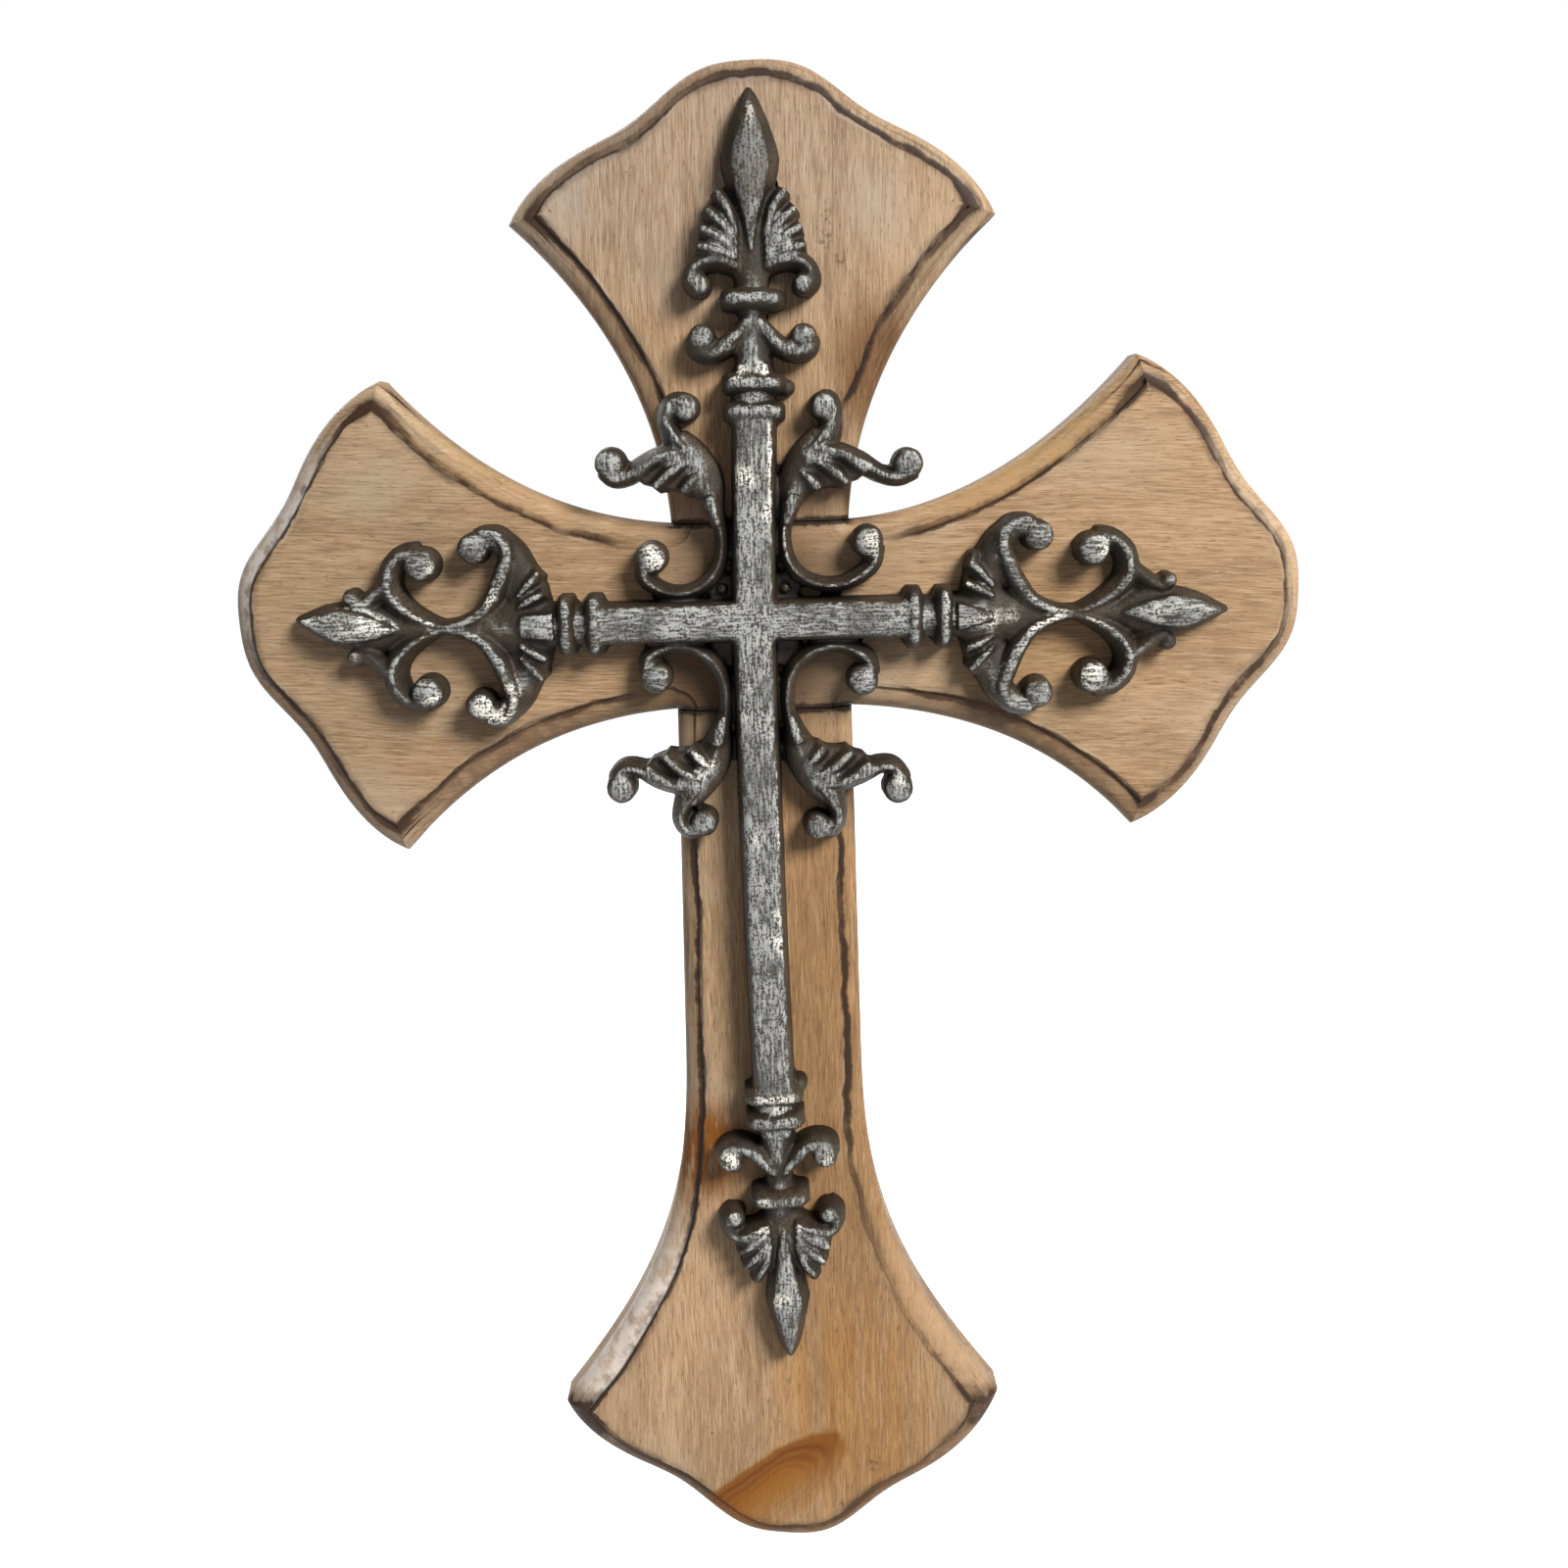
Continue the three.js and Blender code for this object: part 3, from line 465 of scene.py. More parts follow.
def build_grime_shade_and_seam_group():
    """Grime with painted shade round the casting's middle, near-black painted shade at the crossing, and dark
    glaze where the boards' faces meet.
    """
    tree, given, result = group_of("dirt, painted shade and seams", [
        ("Color", "NodeSocketColor", None), ("Vector", "NodeSocketVector", None),
        ("Front", "NodeSocketFloat", 1.0)], [("Color", "NodeSocketColor")])
    place, front = given.outputs["Vector"], given.outputs["Front"]
    # Brown darkening round the crossing: dirt, and painted shade where the casting shades the wood.
    grime_and_shade = maths(tree, "MULTIPLY", near(tree, place, -2, 4, 46, 58),
                  ramp(tree, clouds(tree, place, 40.0), 0.3, 0.7, 0.5, 1))
    grime_and_shade = maths(tree, "MULTIPLY", grime_and_shade, front)
    colour = blend(tree, maths(tree, "MULTIPLY", grime_and_shade, 0.62), given.outputs["Color"], (0.15, 0.08, 0.033, 1))
    # Near-black painted shade in the casting's pockets and below the crossing.
    pocket_shade = maths(tree, "MULTIPLY", near(tree, place, -2, 1, 27, 34), 0.85)
    pocket_shade = maths(tree, "MAXIMUM", pocket_shade, near(tree, place, -6, -16, 36, 20))
    pocket_shade = maths(tree, "MULTIPLY", pocket_shade, front)
    colour = blend(tree, maths(tree, "MULTIPLY", pocket_shade, 0.9), colour, (0.046, 0.022, 0.008, 1))
    parts = node(tree, "ShaderNodeSeparateXYZ", _0=place)
    rough = maths(tree, "SUBTRACT", clouds(tree, place, 260.0, 4.0, 0.7), 0.5)
    above = maths(tree, "SUBTRACT", maths(tree, "ABSOLUTE", parts.outputs["Z"]), CROSSBAR_NECK / 2 * MM)
    off = maths(tree, "ABSOLUTE", maths(tree, "MULTIPLY_ADD", rough, 0.0032, above))
    inside = ramp(tree, maths(tree, "ABSOLUTE", parts.outputs["X"]), 0.0255, 0.0225)
    inside = maths(tree, "MULTIPLY", inside, front)
    seam = maths(tree, "MULTIPLY", ramp(tree, off, 0.0017, 0.0007), inside)
    tree.links.new(blend(tree, seam, colour, (0.022, 0.011, 0.005, 1)), result.inputs["Color"])
    return tree


def build_glaze_and_light_group():
    """A faint cloudy tint that the moulding keeps round one place, for glaze and for painted light and shade.
    """
    tree, given, result = group_of("glaze and painted light on the moulding", [
        ("Color", "NodeSocketColor", None), ("Vector", "NodeSocketVector", None),
        ("Spot", "NodeSocketFloat", 0.0), ("Moulding", "NodeSocketFloat", 0.0),
        ("Share", "NodeSocketFloat", 0.5), ("Wash", "NodeSocketColor", None)], [("Color", "NodeSocketColor")])
    cloudy = ramp(tree, clouds(tree, given.outputs["Vector"], 210.0, 4.0, 0.68), 0.36, 0.6, 0.35, 1)
    where = maths(tree, "MULTIPLY", given.outputs["Spot"], given.outputs["Moulding"])
    where = maths(tree, "MULTIPLY", maths(tree, "MULTIPLY", where, cloudy), given.outputs["Share"])
    tree.links.new(blend(tree, where, given.outputs["Color"], given.outputs["Wash"]), result.inputs["Color"])
    return tree


grime_shade_and_seam_group = build_grime_shade_and_seam_group()
glaze_and_light_group = build_glaze_and_light_group()


def glazed_and_lit(tree, place, colour, moulding, tints):
    """Lays tints on the moulding, glaze and painted light and shade, given as (x, z, reach_x, reach_z, share,
    colour).
    """
    for x, z, reach_x, reach_z, share, tint in tints:
        colour = grouped(tree, glaze_and_light_group, Color=colour, Vector=place, Moulding=moulding, Share=share,
                         Spot=near(tree, place, x, z, reach_x, reach_z), Wash=(*tint, 1)).outputs["Color"]
    return colour


def wood_material(name, turn, glaze, stains_and_light):
    """A board's own wood: the shared group with its grain turned, the glaze's colour and its staining and
    painted light.
    """
    material = bpy.data.materials.new(name)
    material.use_nodes = True
    tree = material.node_tree
    shader = tree.nodes["Principled BSDF"]
    place = tree.nodes.new("ShaderNodeTexCoord").outputs["Object"]
    turned = node(tree, "ShaderNodeMapping", Vector=place, Rotation=(0, turn, 0)).outputs["Vector"]
    edge = tree.nodes.new("ShaderNodeUVMap")
    edge.uv_map = "edge"
    parts = node(tree, "ShaderNodeSeparateXYZ", _0=edge.outputs["UV"])
    mirrored = node(tree, "ShaderNodeVectorMath", {"operation": "ABSOLUTE"}, _0=place).outputs[0]
    corner = near(tree, mirrored, UPRIGHT_NECK / 2 - 1, CROSSBAR_NECK / 2 - 1, 20, 20)
    amount = maths(tree, "MULTIPLY_ADD", corner, -0.85, 1.0)
    amount = maths(tree, "MULTIPLY_ADD", near(tree, place, 38, -172, 24, 66), -0.45, amount)
    for x, z in outer_corners:
        amount = maths(tree, "MULTIPLY_ADD", near(tree, mirrored, x, z, 15, 15), 2.2, amount)
    front = ramp(tree, parts.outputs["Y"], 9.0, 6.0)
    wood = grouped(tree, wood_group, Vector=turned, From_Step=parts.outputs["X"], Below_Face=parts.outputs["Y"],
                   Glaze=glaze, Glaze_Amount=maths(tree, "MULTIPLY", amount, front))
    moulding = maths(tree, "MULTIPLY", ramp(tree, parts.outputs["X"], 0.2, -0.7), front)
    colour = stains_and_light(tree, place, wood.outputs["Color"], moulding)
    colour = blend(tree, front, wood.outputs["Color"], colour)
    colour = grouped(tree, grime_shade_and_seam_group, Color=colour, Vector=place, Front=front).outputs["Color"]
    tree.links.new(colour, shader.inputs["Base Color"])
    tree.links.new(wood.outputs["Roughness"], shader.inputs["Roughness"])
    shader.inputs["Specular IOR Level"].default_value = 0.2
    bump = node(tree, "ShaderNodeBump", Height=wood.outputs["Height"], Strength=0.5, Distance=0.0003)
    tree.links.new(bump.outputs["Normal"], shader.inputs["Normal"])
    return material


def upright_stains_and_light(tree, place, colour, moulding):
    """The knot's orange arc and ochre ground at the foot, and the amber streak on the left edge."""
    # The dark tints at the foot's end, on its lower mouldings, are glaze and painted shade.
    colour = glazed_and_lit(tree, place, colour, moulding, [
        (-46, -198, 36, 50, 0.9, (0.66, 0.58, 0.5)), (46, -212, 36, 62, 0.8, (0.42, 0.27, 0.155)),
        (-36, -244, 40, 26, 0.8, (0.08, 0.036, 0.015)),
        (-58, -228, 13, 10, 2.4, (0.035, 0.017, 0.009)), (58, -228, 10, 9, 1.5, (0.045, 0.022, 0.011)),
        (36, -248, 40, 24, 0.7, (0.1, 0.047, 0.02)), (0, -270, 40, 20, 0.6, (0.13, 0.058, 0.022)),
        (-30, 118, 42, 30, 0.5, (0.25, 0.15, 0.08)),
        (48, 60, 30, 46, 0.5, (0.2, 0.12, 0.06)), (-48, 60, 30, 46, 0.4, (0.24, 0.15, 0.085))])
    ochre = maths(tree, "MULTIPLY", near(tree, place, 20, -228, 32, 56),
                  ramp(tree, clouds(tree, stretched(tree, place, (260, 260, 16)), 1.0), 0.35, 0.65, 0.35, 1))
    colour = blend(tree, near(tree, place, 16, -120, 34, 130), colour, (0.84, 0.75, 0.62, 1), "MULTIPLY")
    colour = blend(tree, ochre, colour, (1.02, 0.84, 0.55, 1), "MULTIPLY")
    # Lighter on the left of the foot: painted light.
    colour = blend(tree, near(tree, place, -30, -203, 40, 50), colour, (1.17, 1.17, 1.2, 1), "MULTIPLY")
    colour = blend(tree, near(tree, place, -12, 112, 74, 50), colour, (0.9, 0.99, 1.2, 1), "MULTIPLY")
    turned = node(tree, "ShaderNodeMapping", {"vector_type": "TEXTURE"}, Vector=place,
                  Location=(0.017, 0, -0.2348), Rotation=(0, math.radians(-38), 0)).outputs["Vector"]
    knot = node(tree, "ShaderNodeSeparateXYZ", _0=turned)
    ragged = maths(tree, "SUBTRACT", clouds(tree, place, 110.0, 3.0), 0.5)
    aside = maths(tree, "DIVIDE", knot.outputs["Z"], 0.0098)
    behind = maths(tree, "MAXIMUM", maths(tree, "ADD", knot.outputs["X"], 0.024), 0.0)
    behind = maths(tree, "DIVIDE", behind, 0.024)
    out = maths(tree, "SQRT", maths(tree, "ADD", maths(tree, "MULTIPLY", aside, aside),
                                    maths(tree, "MULTIPLY", behind, behind)))
    out = maths(tree, "MULTIPLY_ADD", ragged, 0.35, out)
    growth = maths(tree, "MULTIPLY_ADD", maths(tree, "SINE", maths(tree, "MULTIPLY", out, 34.0)), 0.2, 0.8)
    ground = maths(tree, "MULTIPLY", ramp(tree, out, 1.12, 0.82), ramp(tree, aside, -0.8, 0.25, 0.2, 0.78))
    colour = blend(tree, ground, colour, (0.33, 0.145, 0.028, 1))
    body = maths(tree, "MULTIPLY", ramp(tree, out, 1.1, 0.86), ramp(tree, out, 0.1, 0.85, 0.22, 1))
    body = maths(tree, "MULTIPLY", maths(tree, "MULTIPLY", body, growth), ramp(tree, aside, -0.9, 0.3, 0.25, 1))
    colour = blend(tree, maths(tree, "MULTIPLY", body, 0.95), colour, (0.15, 0.05, 0.006, 1))
    orange = maths(tree, "MULTIPLY", ramp(tree, out, 1.14, 0.85), ramp(tree, aside, -0.9, 0.4, 0.2, 1))
    colour = blend(tree, orange, colour, (0.86, 0.66, 0.24, 1), "MULTIPLY")
    amber = maths(tree, "MULTIPLY", near(tree, place, -20, -147, 17, 20),
                  ramp(tree, clouds(tree, stretched(tree, place, (500, 500, 90)), 1.0), 0.33, 0.5, 0.35, 1))
    colour = blend(tree, amber, colour, (0.5, 0.24, 0.03, 1), "MULTIPLY")
    colour = blend(tree, near(tree, place, 31, 62, 15, 26), colour, (0.5, 0.4, 0.3, 1), "MULTIPLY")
    rough = ramp(tree, clouds(tree, place, 700.0, 3.0), 0.52, 0.6)
    marks = ((-30, 112, 2.4, 1.6), (18, 97, 3, 7), (22, 90, 2, 3), (18, -256, 5, 3.4),
             (26, -243, 3, 3.4), (-38, 70, 1.2, 1.2), (32, 60, 1, 1), (-20, -232, 1.2, 1.2))
    for x, z, reach_x, reach_z in marks:
        mark = maths(tree, "MULTIPLY", near(tree, place, x, z, reach_x, reach_z), rough)
        colour = blend(tree, maths(tree, "MULTIPLY", mark, 0.6), colour, (0.09, 0.045, 0.018, 1))
    return colour


def crossbar_stains_and_light(tree, place, colour, moulding):
    """Golden upper edges, where little glaze was left, and brown lower ones, both partly painted light from
    above, and a greyish left end.
    """
    # The upper mouldings' golden tints are partly a painted highlight, and the lower ones' brown partly painted
    # shade.
    colour = glazed_and_lit(tree, place, colour, moulding, [
        (66, 38, 46, 28, 0.7, (0.42, 0.25, 0.1)), (-66, 38, 46, 28, 0.6, (0.4, 0.25, 0.12)),
        (-66, -38, 50, 28, 0.75, (0.15, 0.082, 0.045)), (66, -38, 50, 28, 0.7, (0.17, 0.095, 0.05)),
        (-128, 24, 30, 44, 0.85, (0.58, 0.5, 0.43)), (-120, -40, 30, 26, 0.5, (0.22, 0.13, 0.08)),
        (130, 20, 26, 40, 0.5, (0.6, 0.45, 0.3))])
    colour = blend(tree, near(tree, place, -106, 4, 56, 70), colour, (0.88, 0.92, 0.97, 1), "MULTIPLY")
    colour = blend(tree, near(tree, place, 70, -12, 34, 34), colour, (0.88, 0.84, 0.75, 1), "MULTIPLY")
    return colour


upright.data.materials.clear()
upright.data.materials.append(wood_material("upright wood", 0.0, (0.035, 0.017, 0.008, 1), upright_stains_and_light))
crossbar.data.materials.clear()
crossbar.data.materials.append(
    wood_material("crossbar wood", math.radians(88), (0.04, 0.018, 0.008, 1), crossbar_stains_and_light))
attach(upright, "root")
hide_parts("upright_board")
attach(crossbar, "root")
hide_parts("crossbar_board")

# The ornament is one piece cast in sand: four bars with collars, leaf and scroll finials and four
# openwork corner scrolls, all made of strokes with drafted walls. It lies 0.3 mm off the boards.
IRON_BACK = -16.3
IRON_X = -2
IRON_Z = -0.5
MOST_TRIANGLES = 190000
COARSE_GRAIN = 0.14
FINE_GRAIN = 0.07
strokes = []
balls = []


def cast(points, place, drop, crown):
    """A cast stroke of points (along, across, half width, height), its edges lower by drop."""
    strokes.append(([(*place(u, v), half, height) for u, v, half, height in points], drop, crown))


def cast_ball(u, v, place, radius, height):
    balls.append((*place(u, v), radius, height))


def over(side, points):
    return [(u, side * v, *rest) for u, v, *rest in points]


def placed(x, z, degrees):
    """A place function for a finial that starts at x, z and points along the angle."""
    ax, az = math.cos(math.radians(degrees)), math.sin(math.radians(degrees))
    return lambda u, v: (x + ax * u - az * v, z + az * u + ax * v)


def as_drawn(u, v):
    return u, v


BAR_HEIGHT = 10.5
COLLAR_WIDTH = 16
cast([(1.9 * (i / 6) ** 2, -128.1 * i / 6, 6, BAR_HEIGHT) for i in range(6, 0, -1)]
     + [(0, 0, 6, BAR_HEIGHT), (1.3, 52.7, 6, BAR_HEIGHT)], as_drawn, 0.3, 7)
cast([(-41, 0, 5.7, BAR_HEIGHT), (0, 0, 5.7, BAR_HEIGHT), (41, 0, 5.7, BAR_HEIGHT)], as_drawn, 0.3, 7)


def collar(place, along, half):
    cast([(along, -COLLAR_WIDTH / 2, half * 0.7, 8), (along, -COLLAR_WIDTH * 0.36, half, 11.2),
          (along, 0, half, 12), (along, COLLAR_WIDTH * 0.36, half, 11.2),
          (along, COLLAR_WIDTH / 2, half * 0.7, 8)], place, 0.3, 2.2)


def leaf_finial(place, slip):
    """The leaf finial of the top and the foot. slip moves its upper part outwards."""
    for along in (0, 7, 27.4 + slip / 2):
        collar(place, along, 2.9)
    cast([(-3, 0, 5.4, 9.2), (8, 0, 5.8, 9.6), (13, 0, 4.8, 8.6), (22, 0, 3.6, 8.2), (34, 0, 5, 7.6),
          (42, 0, 8, 7.2), (50, 0, 6, 7)], place, 0.3, 2)
    for side in (-1, 1):
        cast_ball(10.6, side * 2.7, place, 1.9, 10)
    for side in (-1, 1):
        cast(over(side, [(22.6, 1.4, 1.8, 9), (19.2, 3.8, 2.6, 9.2), (16, 7.2, 2.8, 9), (14.7, 10.8, 2.8, 8.6),
                         (15.6, 14.2, 2.6, 8.2), (18.4, 14.9, 2.3, 8)]), place, 0.34, 1.8)
        cast_ball(18.4, side * 12.8, place, 3.6, 9.4)
        cast(over(side, [(35.2 + slip, 3.2, 2.4, 8), (37 + slip, 8.8, 2.6, 8.8), (35.8 + slip, 13.6, 2.6, 9),
                         (32 + slip, 15.2, 2.5, 8.6), (29.6 + slip, 13, 2.3, 8)]), place, 0.42, 1.5)
        cast_ball(31 + slip, side * 12.9, place, 3, 9.2)
        cast(over(side, [(37, 2, 3.6, 6), (43, 5.5, 6, 6.4), (49, 6.5, 3.4, 6)]), place, 0.35, 2)
        for tip_along, tip_across, root in ((53.6, 8.6, 42.5), (49.4, 11.2, 40.5), (44.8, 12.6, 38.6),
                                            (40.4, 13.6, 37)):
            middle = ((root + tip_along) / 2 + 0.6, tip_across * 0.64)
            cast(over(side, [(root, 3.4, 1.4, 8.8), (*middle, 2.2, 9.7), (tip_along, tip_across, 2.1, 8.4)]),
                 place, 0.36, 1.8)
    slim = 1 if slip == 0 else 0.84
    cast([(38, 0, 2, 7.4), (46, 0, 3.4, 7.8), (55, 0, 6.4 * slim, 8.2), (62, 0, 7.6 * slim, 8.2),
          (69, 0, 5.6 * slim, 8), (75, 0, 2.9, 6.6), (78.3, 0, 0.8, 4.4)], place, 0.5, 2)
    cast([(39, 0, 0.8, 8.2), (46, 0, 2.2, 9.2), (54, 0, 4.4 * slim, 9.9), (60, 0, 5.6 * slim, 10.1),
          (66, 0, 4.2 * slim, 9.7), (72, 0, 2.2, 8.6), (76.4, 0, 0.8, 7)], place, 0.17, 2.4)


leaf_finial(placed(1.3, 52.7, 89.5), 0)
leaf_finial(placed(1.9, -128.1, -87.9), 4)
cast_ball(9.8, 58.6, as_drawn, 2.2, 7)
cast_ball(8.8, -126, as_drawn, 2.4, 7)


def scroll_finial(place, lift, bell):
    """The scroll finial of the left and right ends. lift bends the spear's tip upwards, and bell is
    half the width that its bell narrows to."""
    collar(place, 41, 2.7)
    collar(place, 48.3, 2.5)
    cast([(38, 0, 5.4, 9.2), (55, 0, 6, 8.6), (62, 0, 7.6, 7.8), (68, 0, 6, 7.4), (78, 0, 2, 7), (86, 0, 3, 7),
          (92, 0, 3.4, 7.4)], place, 0.3, 2)
    cast([(51.5, 0, 4.2, 10.2), (56, 0, (4 + bell) / 2, 10.4), (60, 0, bell, 9.8)], place, 0.12, 4)
    cast([(89, 0, 2.8, 7), (95.5, lift * 0.1, 7, 7.6), (104, lift * 0.3, 6.8, 8.2), (112, lift * 0.7, 4.6, 7.6),
          (118.6, lift, 0.7, 4.6)], place, 0.5, 2)
    cast([(92, 0, 0.8, 8.6), (98, lift * 0.1, 3.2, 9.6), (105, lift * 0.35, 4.8, 10),
          (111, lift * 0.65, 3.4, 9.4), (116.6, lift * 0.95, 0.8, 7)], place, 0.17, 2.2)
    for side in (-1, 1):
        cast(over(side, [(56, 1.5, 4.4, 6.8), (58.4, 8, 5.8, 7.2), (60.4, 14, 5, 7.6), (62.4, 19.2, 4, 8.2),
                         (66.4, 22.6, 3.2, 8.6), (71, 22.8, 2.8, 8.4)]), place, 0.3, 2)
        cast(over(side, [(80, 0.3, 1.7, 8.2), (75, 1.2, 2, 8.8), (70, 3.8, 2.4, 9.2), (66.4, 8.6, 2.8, 9.8),
                         (64, 14, 2.9, 10), (62.6, 19, 2.7, 10), (65, 23.4, 2.4, 9.8), (69.6, 24.2, 1.9, 9.4)]),
             place, 0.36, 2.1)
        for lobe in ([(54.6, 14), (57.2, 11.2), (60.6, 7.6)], [(53.6, 8.6), (56.8, 7), (60.6, 4.8)]):
            lobe = [(*lobe[0], 1.9, 8.8), (*lobe[1], 2.2, 9.8), (*lobe[2], 1.4, 8.4)]
            cast(over(side, lobe), place, 0.4, 1.9)
        cast_ball(71.4, side * 20.2, place, 4.3, 10)
        cast(over(side, [(80, 0.4, 1.5, 8), (84.6, 1.8, 2.2, 8.4), (89.8, 5, 2.8, 8.8), (93.4, 9.6, 3.2, 9.2),
                         (93.2, 15, 3.2, 8.8), (90, 18.8, 3, 8.4), (85.6, 19.6, 2.8, 8.4)]), place, 0.45, 1.4)
        cast_ball(84.8, side * 16.4, place, 4.7, 10.2)
        cast(over(side, [(95, 11, 2.4, 8.2), (100, 7, 2.6, 7.6), (103.2, 6, 2.2, 7)]), place, 0.4, 1.6)
        cast_ball(103.4, side * 7.9 + lift * 0.2, place, 2.4, 8)


scroll_finial(lambda u, v: (-u, v), 3, 3.4)
scroll_finial(lambda u, v: (41 + (u - 41) * 1.055, v), 0, 1.2)
cast_ball(56.5, 15.4, as_drawn, 1.6, 8)


def bent_to(points, drawn, actual):
    """Bends a stroke so that it ends at its own ball, which sits differently in each corner."""
    moved = []
    for i, (u, v, half, height) in enumerate(points):
        share = (i / (len(points) - 1)) ** 2
        moved.append((u + share * (actual[0] - drawn[0]), v + share * (actual[1] - drawn[1]), half, height))
    return moved


def corner_scroll(right, up, curl_ball, tip_ball, hook_ball):
    """One openwork corner scroll: a C curl, a leaf body with three lobes, a tip and a hook."""
    def place(u, v):
        return right * u, up * v
    cast(bent_to([(11.2, 35, 2.6, 8.6), (9.4, 28.6, 2.3, 8.4), (8, 22.8, 2.1, 8.4), (8.2, 16.8, 2.1, 8.4),
                  (10.4, 11.8, 2.1, 8.4), (14.4, 8.6, 2.1, 8.4), (19.4, 7.4, 2.1, 8.4), (24.2, 8.4, 2.3, 8.6),
                  (28.2, 11.4, 2.6, 8.8), (28.9, 15.6, 2.5, 9)], (26.4, 16.8), curl_ball), place, 0.5, 1.2)
    cast([(9.4, 28, 2.6, 7.6), (11.6, 35.6, 5, 8), (15.6, 42, 5.2, 8.4), (18.9, 47, 3.4, 8.4)], place, 0.3, 2)
    cast([(14.6, 42.6, 1.2, 9), (17.8, 45.6, 1.9, 9.8), (20.2, 49.6, 1.8, 9.6)], place, 0.4, 1.6)
    cast([(10.9, 32, 2.5, 9.6), (9.8, 28.6, 2.6, 10), (8.6, 24.4, 1.6, 9.2)], place, 0.3, 2)
    cast(bent_to([(19.4, 46, 3, 8.8), (21, 51.6, 2.6, 9), (19.4, 55.2, 2.6, 8.8), (16.2, 55.2, 2.4, 8.4)],
                 (16.4, 53.4), hook_ball), place, 0.42, 1.5)
    cast(bent_to([(14, 39.6, 3, 8.8), (20.6, 42, 3.4, 9.2), (26.6, 40.6, 3, 9.2), (31.6, 37.8, 2.6, 8.8),
                  (35.8, 37.2, 2.4, 8.8), (39, 39.8, 2.2, 8.8)], (36.8, 41.6), tip_ball), place, 0.45, 1.4)
    for lobe in ([(15.5, 43.4), (23.2, 42), (29.4, 37.4)], [(14.4, 41), (19.8, 38.6), (24.6, 34.4)],
                 [(12.6, 38), (15, 35.8), (17.4, 33)]):
        cast([(*lobe[0], 1.4, 9.2), (*lobe[1], 2.7, 10), (*lobe[2], 2.5, 9)], place, 0.45, 1.8)
    cast([(13, 36.6, 4, 6.4), (20.4, 37.8, 4.6, 6.4), (27.6, 38, 3, 6.4)], place, 0.2, 3)
    cast_ball(*curl_ball, place, 4.4, 9.6)
    cast_ball(*tip_ball, place, 4.3, 9.8)
    cast_ball(*hook_ball, place, 3.9, 9.4)
    cast([(5, 5.4, 3.6, 2.6), (8.4, 8.6, 4.4, 2.6), (10.4, 10.4, 3, 2.6)], place, 0.05, 4)


corner_scroll(-1, 1, (25.9, 16.8), (35.5, 40.8), (16.1, 54.2))
corner_scroll(1, 1, (29.5, 19.7), (40, 39), (18.9, 53.9))
corner_scroll(-1, -1, (25.8, 14.1), (35.9, 42.9), (14.6, 52.6))
corner_scroll(1, -1, (27.7, 16), (36.5, 44.7), (15.2, 54.2))

pattern = bpy.data.meshes.new("casting_pattern")
vertices, edges, numbers = [], [], {"half_width": [], "height": [], "drop": [], "crown": [], "ball": []}
for points, drop, crown in strokes:
    for k, (x, z, half, height) in enumerate(points):
        if k:
            edges.append((len(vertices) - 1, len(vertices)))
        vertices.append(((x + IRON_X) * MM, IRON_BACK * MM, (z + IRON_Z) * MM))
        for key, value in (("half_width", half * MM), ("height", height * MM), ("drop", drop), ("crown", crown),
                           ("ball", 0.0)):
            numbers[key].append(value)
for x, z, radius, height in balls:
    vertices.append(((x + IRON_X) * MM, IRON_BACK * MM, (z + IRON_Z) * MM))
    for key, value in (("half_width", 0.0), ("height", height * MM), ("drop", 0.0), ("crown", 1.0),
                       ("ball", radius * MM)):
        numbers[key].append(value)
pattern.from_pydata(vertices, edges, [])
for key, values in numbers.items():
    pattern.attributes.new(key, "FLOAT", "POINT").data.foreach_set("value", values)
casting = bpy.data.objects.new("casting", pattern)
studio.collection.objects.link(casting)

casting_iron = bpy.data.materials.new("brushed sand-cast iron")

moulds = bpy.data.node_groups.new("cast strokes and balls", "GeometryNodeTree")
moulds.interface.new_socket("Geometry", in_out="INPUT", socket_type="NodeSocketGeometry")
back_socket = moulds.interface.new_socket("Sunk Behind", in_out="INPUT", socket_type="NodeSocketFloat")
spacing_socket = moulds.interface.new_socket("Spacing", in_out="INPUT", socket_type="NodeSocketFloat")
draft_socket = moulds.interface.new_socket("Draft", in_out="INPUT", socket_type="NodeSocketFloat")
iron_socket = moulds.interface.new_socket("Material", in_out="INPUT", socket_type="NodeSocketMaterial")
moulds.interface.new_socket("Geometry", in_out="OUTPUT", socket_type="NodeSocketGeometry")
given = moulds.nodes.new("NodeGroupInput")
result = moulds.nodes.new("NodeGroupOutput")


def named(key):
    made = node(moulds, "GeometryNodeInputNamedAttribute", {"data_type": "FLOAT"})
    made.inputs["Name"].default_value = key
    return made.outputs["Attribute"]


def captured(geometry, key, value):
    """Keeps a value on the points, so that it is still there on the mesh made from them."""
    made = moulds.nodes.new("GeometryNodeCaptureAttribute")
    made.capture_items.new("VECTOR", key)
    moulds.links.new(geometry, made.inputs["Geometry"])
    moulds.links.new(value, made.inputs[key])
    return made.outputs["Geometry"], made.outputs[key]


